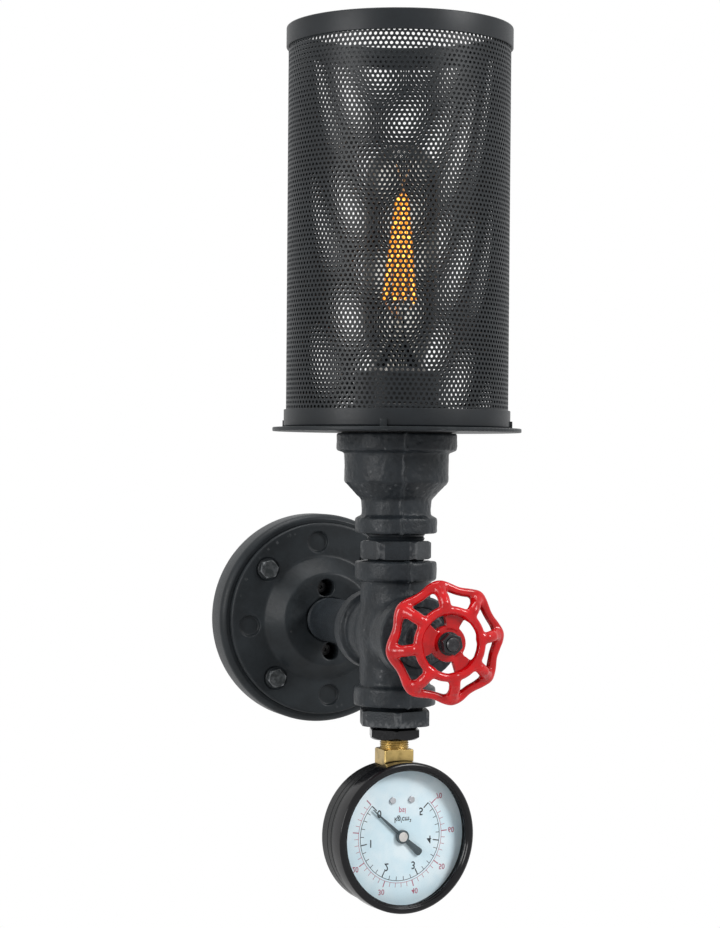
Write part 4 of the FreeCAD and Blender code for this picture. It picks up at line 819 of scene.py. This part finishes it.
for letter, first, last in (("a", 0, 33), ("b", 33, 67), ("c", 67, 100), ("d", 100, HOLES_ROUND)):
    add_piece(perforated_mesh("shade_mesh_" + letter, first, last),
              ON_PIPE_AXIS, "lamp", SHADE, ["shade_mesh"])

HOOP_R, HOOP_OUTER_R = 50.25, 51.2
add_piece(lathe_mesh("top_rim", [
    (HOOP_R, 263.6), (HOOP_OUTER_R, 263.6, 0.35), (HOOP_OUTER_R, 272.85, 0.75),
    (49.2, 272.85, 0.2), (49.2, 272.05), (HOOP_R, 272.05)], 256),
    ON_PIPE_AXIS, "lamp", SHADE, ["shade_top_rim"])
add_piece(lathe_mesh("bottom_band", [
    (HOOP_R, SHADE_BOTTOM), (HOOP_OUTER_R, SHADE_BOTTOM, 0.8), (HOOP_OUTER_R, 100.7, 0.3),
    (HOOP_R, 100.7)], 256),
    ON_PIPE_AXIS, "lamp", SHADE, ["shade_bottom_band"])


# Gauge

GAUGE_R = 32.6              # of the case, with a little air
BEZEL_CLEAR_R = 34.15
BEZEL_BACK = 5.5
SQUARE_TOP = 52.3           # below the axis of the cross


def brass_field(x, y, z):
    """Threaded end and square of the gauge's stem, the square seated on the round case."""
    half_square, thread_r, thread_depth = 7.0, 6.35, 0.28
    below = np.maximum(-62.0 - z, z + SQUARE_TOP)
    square = np.maximum(np.maximum(np.abs(x), np.abs(y)) - half_square, below)
    square = np.maximum(square, (np.abs(x) + np.abs(y) - 13.4) * 0.707)
    square = np.maximum(square, (np.hypot(x, y) - 8.8 + (z + SQUARE_TOP) * 1.6) * 0.53)
    thread = np.hypot(x, y) - thread_r + thread_depth * np.cos(2 * math.pi * z)
    thread = np.maximum(thread, np.maximum(-53.0 - z, z + 43.6))
    body = np.minimum(square, thread)
    cos_yaw, sin_yaw = math.cos(math.radians(GAUGE_YAW)), math.sin(math.radians(GAUGE_YAW))
    across = x * cos_yaw + y * sin_yaw
    forward = x * sin_yaw - y * cos_yaw
    reach = np.hypot(across, z - GAUGE_HEIGHT)
    body = np.maximum(body, GAUGE_R - reach)
    return np.maximum(body, np.minimum(BEZEL_CLEAR_R - reach, forward - BEZEL_BACK))


add_piece(cast_mesh("brass_stem", brass_field, (-7.1, -7.1, -60.2), (7.1, 7.1, -43.5), 0.16,
                    [(2.0, 0.03)], 61),
          ON_PIPE_AXIS, "lamp", BRASS, ["gauge_stem", "stem_collar"])

add_piece(lathe_mesh("bezel_ring", [
    (GAUGE_R, 5.6), (34.0, 5.6, 0.6), (34.0, 13.4, 0.9), (32.9, 14.1, 1.2), (31.4, 14.05, 0.5),
    (31.0, 13.3, 0.3), (30.5, 13.45, 0.2), (30.1, 12.8, 0.2), (30.1, 12.2), (GAUGE_R, 12.2)], 224),
    IN_GAUGE, "lamp", GLOSS, ["gauge_bezel"])

PRINT_BACK, PRINT_FRONT = 7.71, 7.74
PRINT_SHIFT = (-0.75, 0.3)  # the sheet is printed a little off its middle
SCALE_FIRST, SCALE_SWEEP = 135.0, 270.0
BLACK_R, RED_R = 20.15, 21.15
RED_STEP = 7.6              # degrees between two red marks


def flat_strips(name, strips):
    """Thin printed strips, each four corners (x, y)."""
    points, faces = [], []
    for corners in strips:
        base = len(points)
        points += [(x, y, level) for level in (PRINT_BACK, PRINT_FRONT) for x, y in corners]
        faces.append((base + 4, base + 5, base + 6, base + 7))
        faces.append((base + 3, base + 2, base + 1, base))
        for i in range(4):
            j = (i + 1) % 4
            faces.append((base + i, base + j, base + 4 + j, base + 4 + i))
    return mesh_of(name, points, faces, smooth=False)


def tick(degrees, inner, outer, width):
    """Corners of a radial mark."""
    direction = Vector(on_circle(1.0, degrees))
    aside = Vector((-direction.y, direction.x)) * (width / 2)
    start, end = Vector(printed(inner, degrees)), Vector(printed(outer, degrees))
    return [tuple(corner) for corner in (start - aside, end - aside, end + aside, start + aside)]


def printed(radius, degrees):
    """Place on the dial, from the middle of the printed scale."""
    x, y = on_circle(radius, degrees)
    return x + PRINT_SHIFT[0], y + PRINT_SHIFT[1]


def arc(radius, width):
    """Strips of the circle line of a scale."""
    step = 2.0
    count = round(SCALE_SWEEP / step)
    inner, outer = radius - width / 2, radius + width / 2
    marks = []
    for i in range(count):
        a, b = SCALE_FIRST + step * i, SCALE_FIRST + step * (i + 1)
        marks.append([printed(inner, a), printed(outer, a), printed(outer, b), printed(inner, b)])
    return marks


black_marks = arc(BLACK_R, 0.26)
for i in range(26):
    major = i % 5 == 0
    angle = SCALE_FIRST + SCALE_SWEEP * i / 25
    black_marks.append(tick(angle, 17.05 if major else 18.3, BLACK_R, 0.5 if major else 0.28))
red_marks = arc(RED_R, 0.2)
for i in range(36):
    major = i % 5 == 0
    angle = SCALE_FIRST + RED_STEP * i
    red_marks.append(tick(angle, RED_R, 24.1 if major else 23.2, 0.46 if major else 0.22))
add_piece(flat_strips("dial_scale_black", black_marks), IN_GAUGE, "lamp", INK)
add_piece(flat_strips("dial_scale_red", red_marks), IN_GAUGE, "lamp", RED_INK)


def lettering(name, entries, material):
    """Printed characters (text, x, y, size); the print runs upside down, as the scale does."""
    narrowing, boldness = 0.92, 0.07
    points, faces = [], []
    for text, x, y, size in entries:
        curve = bpy.data.curves.new("letters", "FONT")
        curve.body = text
        curve.size = size
        curve.offset = boldness * size / 5
        curve.align_x, curve.align_y = "CENTER", "CENTER"
        curve.resolution_u = 3
        holder = bpy.data.objects.new("letters", curve)
        flat = bpy.data.meshes.new_from_object(holder)
        base = len(points)
        count = len(flat.vertices)
        for level in (PRINT_BACK, PRINT_FRONT):
            for vertex in flat.vertices:
                points.append((x + vertex.co.x * narrowing, y - vertex.co.y, level))
        used = {}
        for polygon in flat.polygons:
            ring = list(polygon.vertices)
            faces.append([base + count + i for i in ring[::-1]])
            faces.append([base + i for i in ring])
            for a, b in zip(ring, ring[1:] + ring[:1]):
                if (b, a) in used:
                    del used[(b, a)]
                else:
                    used[(a, b)] = True
        faces += [[base + count + a, base + count + b, base + b, base + a] for a, b in used]
        bpy.data.objects.remove(holder)
        bpy.data.curves.remove(curve)
        bpy.data.meshes.remove(flat)
    add_piece(mesh_of(name, points, faces, smooth=False), IN_GAUGE, "lamp", material)


black_text = [(str(i), *printed(15.1, SCALE_FIRST + 54 * i), 4.9) for i in range(6)]
black_text.append(("kg/cm²", 0.6, 7.7, 3.5))
lettering("dial_numbers_black", black_text, INK)
red_text = [(str(10 * i), *printed(26.3, SCALE_FIRST + 5 * RED_STEP * i), 3.5) for i in range(2, 8)]
red_text.append(("psi", 0.3, 11.6, 3.6))
lettering("dial_numbers_red", red_text, RED_INK)

add_piece(lathe_mesh("needle_disc", [
    (0, 9.41), (2.2, 9.41, 0.08), (2.2, 9.62, 0.15), (0.5, 9.66), (0.45, 9.5), (0, 9.5)], 48),
    IN_GAUGE, "needle", SILVER)


# Bulb

BULB_FOOT = 120.0           # height it leans from
BULB_LEAN = math.radians(1.2)
LEAN_DIRECTION = math.radians(-19)
STRAND_LOW, STRAND_HIGH = 149.2, 198.3
STRAND_LOW_R, STRAND_HIGH_R = 6.9, 1.5
STRAND_DIRECTIONS = (-2.0, 88.0, 178.0, 268.0)
STRAND_CORE_R, STRAND_COAT_R = 0.85, 1.55
WIRE_R = 0.32
STEM_TOP = 141.0
FORK_LOW, FORK_TOP = 201.5, 212.5


def in_bulb(radius, degrees, height):
    """Point in the leaning bulb."""
    axis = Vector((-math.sin(LEAN_DIRECTION), math.cos(LEAN_DIRECTION), 0))
    point = Vector((*on_circle(radius, degrees), height - BULB_FOOT))
    return Matrix.Rotation(BULB_LEAN, 3, axis) @ point + Vector((0, 0, BULB_FOOT))


def rods_mesh(name, rods, sides=12, rings=24):
    """Round bars (start, end, radius) with rounded ends and a slight unevenness."""
    points, faces = [], []
    for low, high, thickness in rods:
        along = (high - low).normalized()
        u = along.orthogonal().normalized()
        v = along.cross(u)
        base = len(points)
        for i in range(rings + 1):
            t = i / rings
            end_rounding = math.sqrt(max(0.04, 1 - abs(2 * t - 1) ** 16))
            radius = thickness * end_rounding * (1 + 0.05 * math.sin(40 * t))
            middle = low.lerp(high, t)
            for k in range(sides):
                a = 2 * math.pi * k / sides
                points.append(middle + (u * math.cos(a) + v * math.sin(a)) * radius)
        for i in range(rings):
            for k in range(sides):
                m = (k + 1) % sides
                a, b = base + i * sides, base + (i + 1) * sides
                faces.append((a + k, a + m, b + m, b + k))
        faces.append([base + k for k in range(sides)][::-1])
        faces.append([base + rings * sides + k for k in range(sides)])
    return mesh_of(name, points, faces, sharp_degrees=60)


feet = [in_bulb(STRAND_LOW_R, degrees, STRAND_LOW) for degrees in STRAND_DIRECTIONS]
heads = [in_bulb(STRAND_HIGH_R, degrees, STRAND_HIGH) for degrees in STRAND_DIRECTIONS]
for name, radius, material, replaced in (
        ("glow_cores", STRAND_CORE_R, GLOW, ["bulb_filament"]),
        ("glow_coats", STRAND_COAT_R, GLOW_COAT, ())):
    strands = [(low, high, radius) for low, high in zip(feet, heads)]
    add_piece(rods_mesh(name, strands), ON_PIPE_AXIS, "bulb", material, replaced)

fork = in_bulb(0, 0, FORK_LOW)
wires = [(in_bulb(0, 0, STEM_TOP), foot, WIRE_R) for foot in feet]
wires += [(in_bulb(0, 0, STEM_TOP - 2), in_bulb(0, 0, 206.5), WIRE_R)]
wires += [(fork, in_bulb(3.4, degrees, FORK_TOP), WIRE_R) for degrees in (-10.0, 170.0)]
wires += [(head, fork, WIRE_R * 0.8) for head in heads]
# The wires carry the painted amber glint of the strands' light, not a glow of their own.
add_piece(rods_mesh("wires_amber_glint", wires, 8, 6), ON_PIPE_AXIS, "bulb", AMBER_GLINT_WIRE,
          ["bulb_supports"])

nodes["bulb_glass"].visible_shadow = False
nodes["gauge_window"].visible_shadow = False


# Stage, lights and camera

SOFT_STRENGTH, SEEN_STRENGTH = 0.28, 1.0
LIGHTS_AIM = (0, -0.1, 0.06)


def studio():
    """White surroundings: plain white where it is seen, and soft where it lights."""
    world = bpy.data.worlds.new("studio")
    bpy.context.scene.world = world
    world.use_nodes = True
    tree = world.node_tree
    tree.nodes.clear()
    output = tree.nodes.new("ShaderNodeOutputWorld")
    mix = tree.nodes.new("ShaderNodeMixShader")
    path = tree.nodes.new("ShaderNodeLightPath")
    chosen = path.outputs["Is Camera Ray"]
    for ray in ("Is Transmission Ray", "Is Glossy Ray"):
        either = tree.nodes.new("ShaderNodeMath")
        either.operation = "MAXIMUM"
        tree.links.new(chosen, either.inputs[0])
        tree.links.new(path.outputs[ray], either.inputs[1])
        chosen = either.outputs[0]
    tree.links.new(chosen, mix.inputs[0])
    for i, strength in ((1, SOFT_STRENGTH), (2, SEEN_STRENGTH)):
        light = tree.nodes.new("ShaderNodeBackground")
        light.inputs["Color"].default_value = (1, 1, 1, 1)
        light.inputs["Strength"].default_value = strength
        tree.links.new(light.outputs[0], mix.inputs[i])
    tree.links.new(mix.outputs[0], output.inputs["Surface"])


def softbox(name, place, size, power):
    """Square soft light at a place in metres, aimed at the lamp."""
    data = bpy.data.lights.new(name, "AREA")
    data.size = size
    data.energy = power
    lamp = bpy.data.objects.new(name, data)
    bpy.context.scene.collection.objects.link(lamp)
    lamp.location = place
    towards = Vector(LIGHTS_AIM) - Vector(place)
    lamp.rotation_euler = towards.to_track_quat("-Z", "Y").to_euler()


def floor():
    """Pale round floor below the lamp that fades to white away from it."""
    middle_y, level = -0.1, -0.55
    rings = [0.4, 0.8, 1.2, 1.6]
    corners = 96
    points = [(0.0, middle_y, level)]
    faces = []
    for ring in rings:
        for k in range(corners):
            x, y = on_circle(ring, 360 * k / corners)
            points.append((x, y + middle_y, level))
    for k in range(corners):
        m = (k + 1) % corners
        faces.append((0, 1 + k, 1 + m))
        for i in range(len(rings) - 1):
            low, high = 1 + i * corners, 1 + (i + 1) * corners
            faces.append((low + k, high + k, high + m, low + m))
    g = Graph("floor_pale", "ShaderNodeMixShader")
    paint = g.tree.nodes.new("ShaderNodeBsdfDiffuse")
    paint.inputs["Color"].default_value = (0.86, 0.86, 0.86, 1)
    white = g.tree.nodes.new("ShaderNodeEmission")
    white.inputs["Color"].default_value = (1, 1, 1, 1)
    length = g.tree.nodes.new("ShaderNodeVectorMath")
    length.operation = "LENGTH"
    g.set(length.inputs[0], g.coords)
    g.set(g.shader.inputs[0], g.span(length.outputs["Value"], 0.75, 1.25))
    g.tree.links.new(paint.outputs[0], g.shader.inputs[1])
    g.tree.links.new(white.outputs[0], g.shader.inputs[2])
    mesh = mesh_of("floor", points, faces, smooth=False)
    mesh.materials.append(g.material)
    piece = bpy.data.objects.new("floor", mesh)
    bpy.context.scene.collection.objects.link(piece)


studio()
floor()
softbox("key", (1.0, -1.2, 0.9), 0.6, 24)
softbox("fill", (-1.4, -0.6, 0.35), 0.7, 14)
softbox("top", (-0.1, 0.0, 1.4), 0.7, 12)

# Camera where the photograph was taken from: millimetres, and pixels of the photograph
AZIMUTH, ELEVATION, ROLL = math.radians(-19.14), math.radians(0.83), math.radians(0.46)
DISTANCE, SIDE, AIM_Z = 1077.78, 16.4, 60.0
FOCAL_PX = 2381.9
PHOTO_W, PHOTO_H = 720, 928
CENTRE_X, CENTRE_Y = 360, 500.08
SENSOR = 36.0
ahead = Vector((
    -math.sin(AZIMUTH) * math.cos(ELEVATION),
    math.cos(AZIMUTH) * math.cos(ELEVATION),
    -math.sin(ELEVATION)))
right = Vector((math.cos(AZIMUTH), math.sin(AZIMUTH), 0))
up = right.cross(ahead)
image_right = right * math.cos(ROLL) + up * math.sin(ROLL)
image_up = up * math.cos(ROLL) - right * math.sin(ROLL)
place = Vector((0, -STAND_OFF, AIM_Z)) - ahead * DISTANCE - right * SIDE
camera_data = bpy.data.cameras.new("camera")
camera_data.sensor_fit = "AUTO"
camera_data.sensor_width = SENSOR
camera_data.lens = FOCAL_PX * SENSOR / PHOTO_H
camera_data.shift_x = (PHOTO_W / 2 - CENTRE_X) / PHOTO_H
camera_data.shift_y = (CENTRE_Y - PHOTO_H / 2) / PHOTO_H
camera_data.clip_start, camera_data.clip_end = 0.01, 20
camera = bpy.data.objects.new("camera", camera_data)
bpy.context.scene.collection.objects.link(camera)
camera.matrix_world = Matrix((
    (image_right.x, image_up.x, -ahead.x, place.x * MM),
    (image_right.y, image_up.y, -ahead.y, place.y * MM),
    (image_right.z, image_up.z, -ahead.z, place.z * MM),
    (0, 0, 0, 1)))
bpy.context.scene.camera = camera
bpy.context.scene.view_settings.view_transform = "Standard"
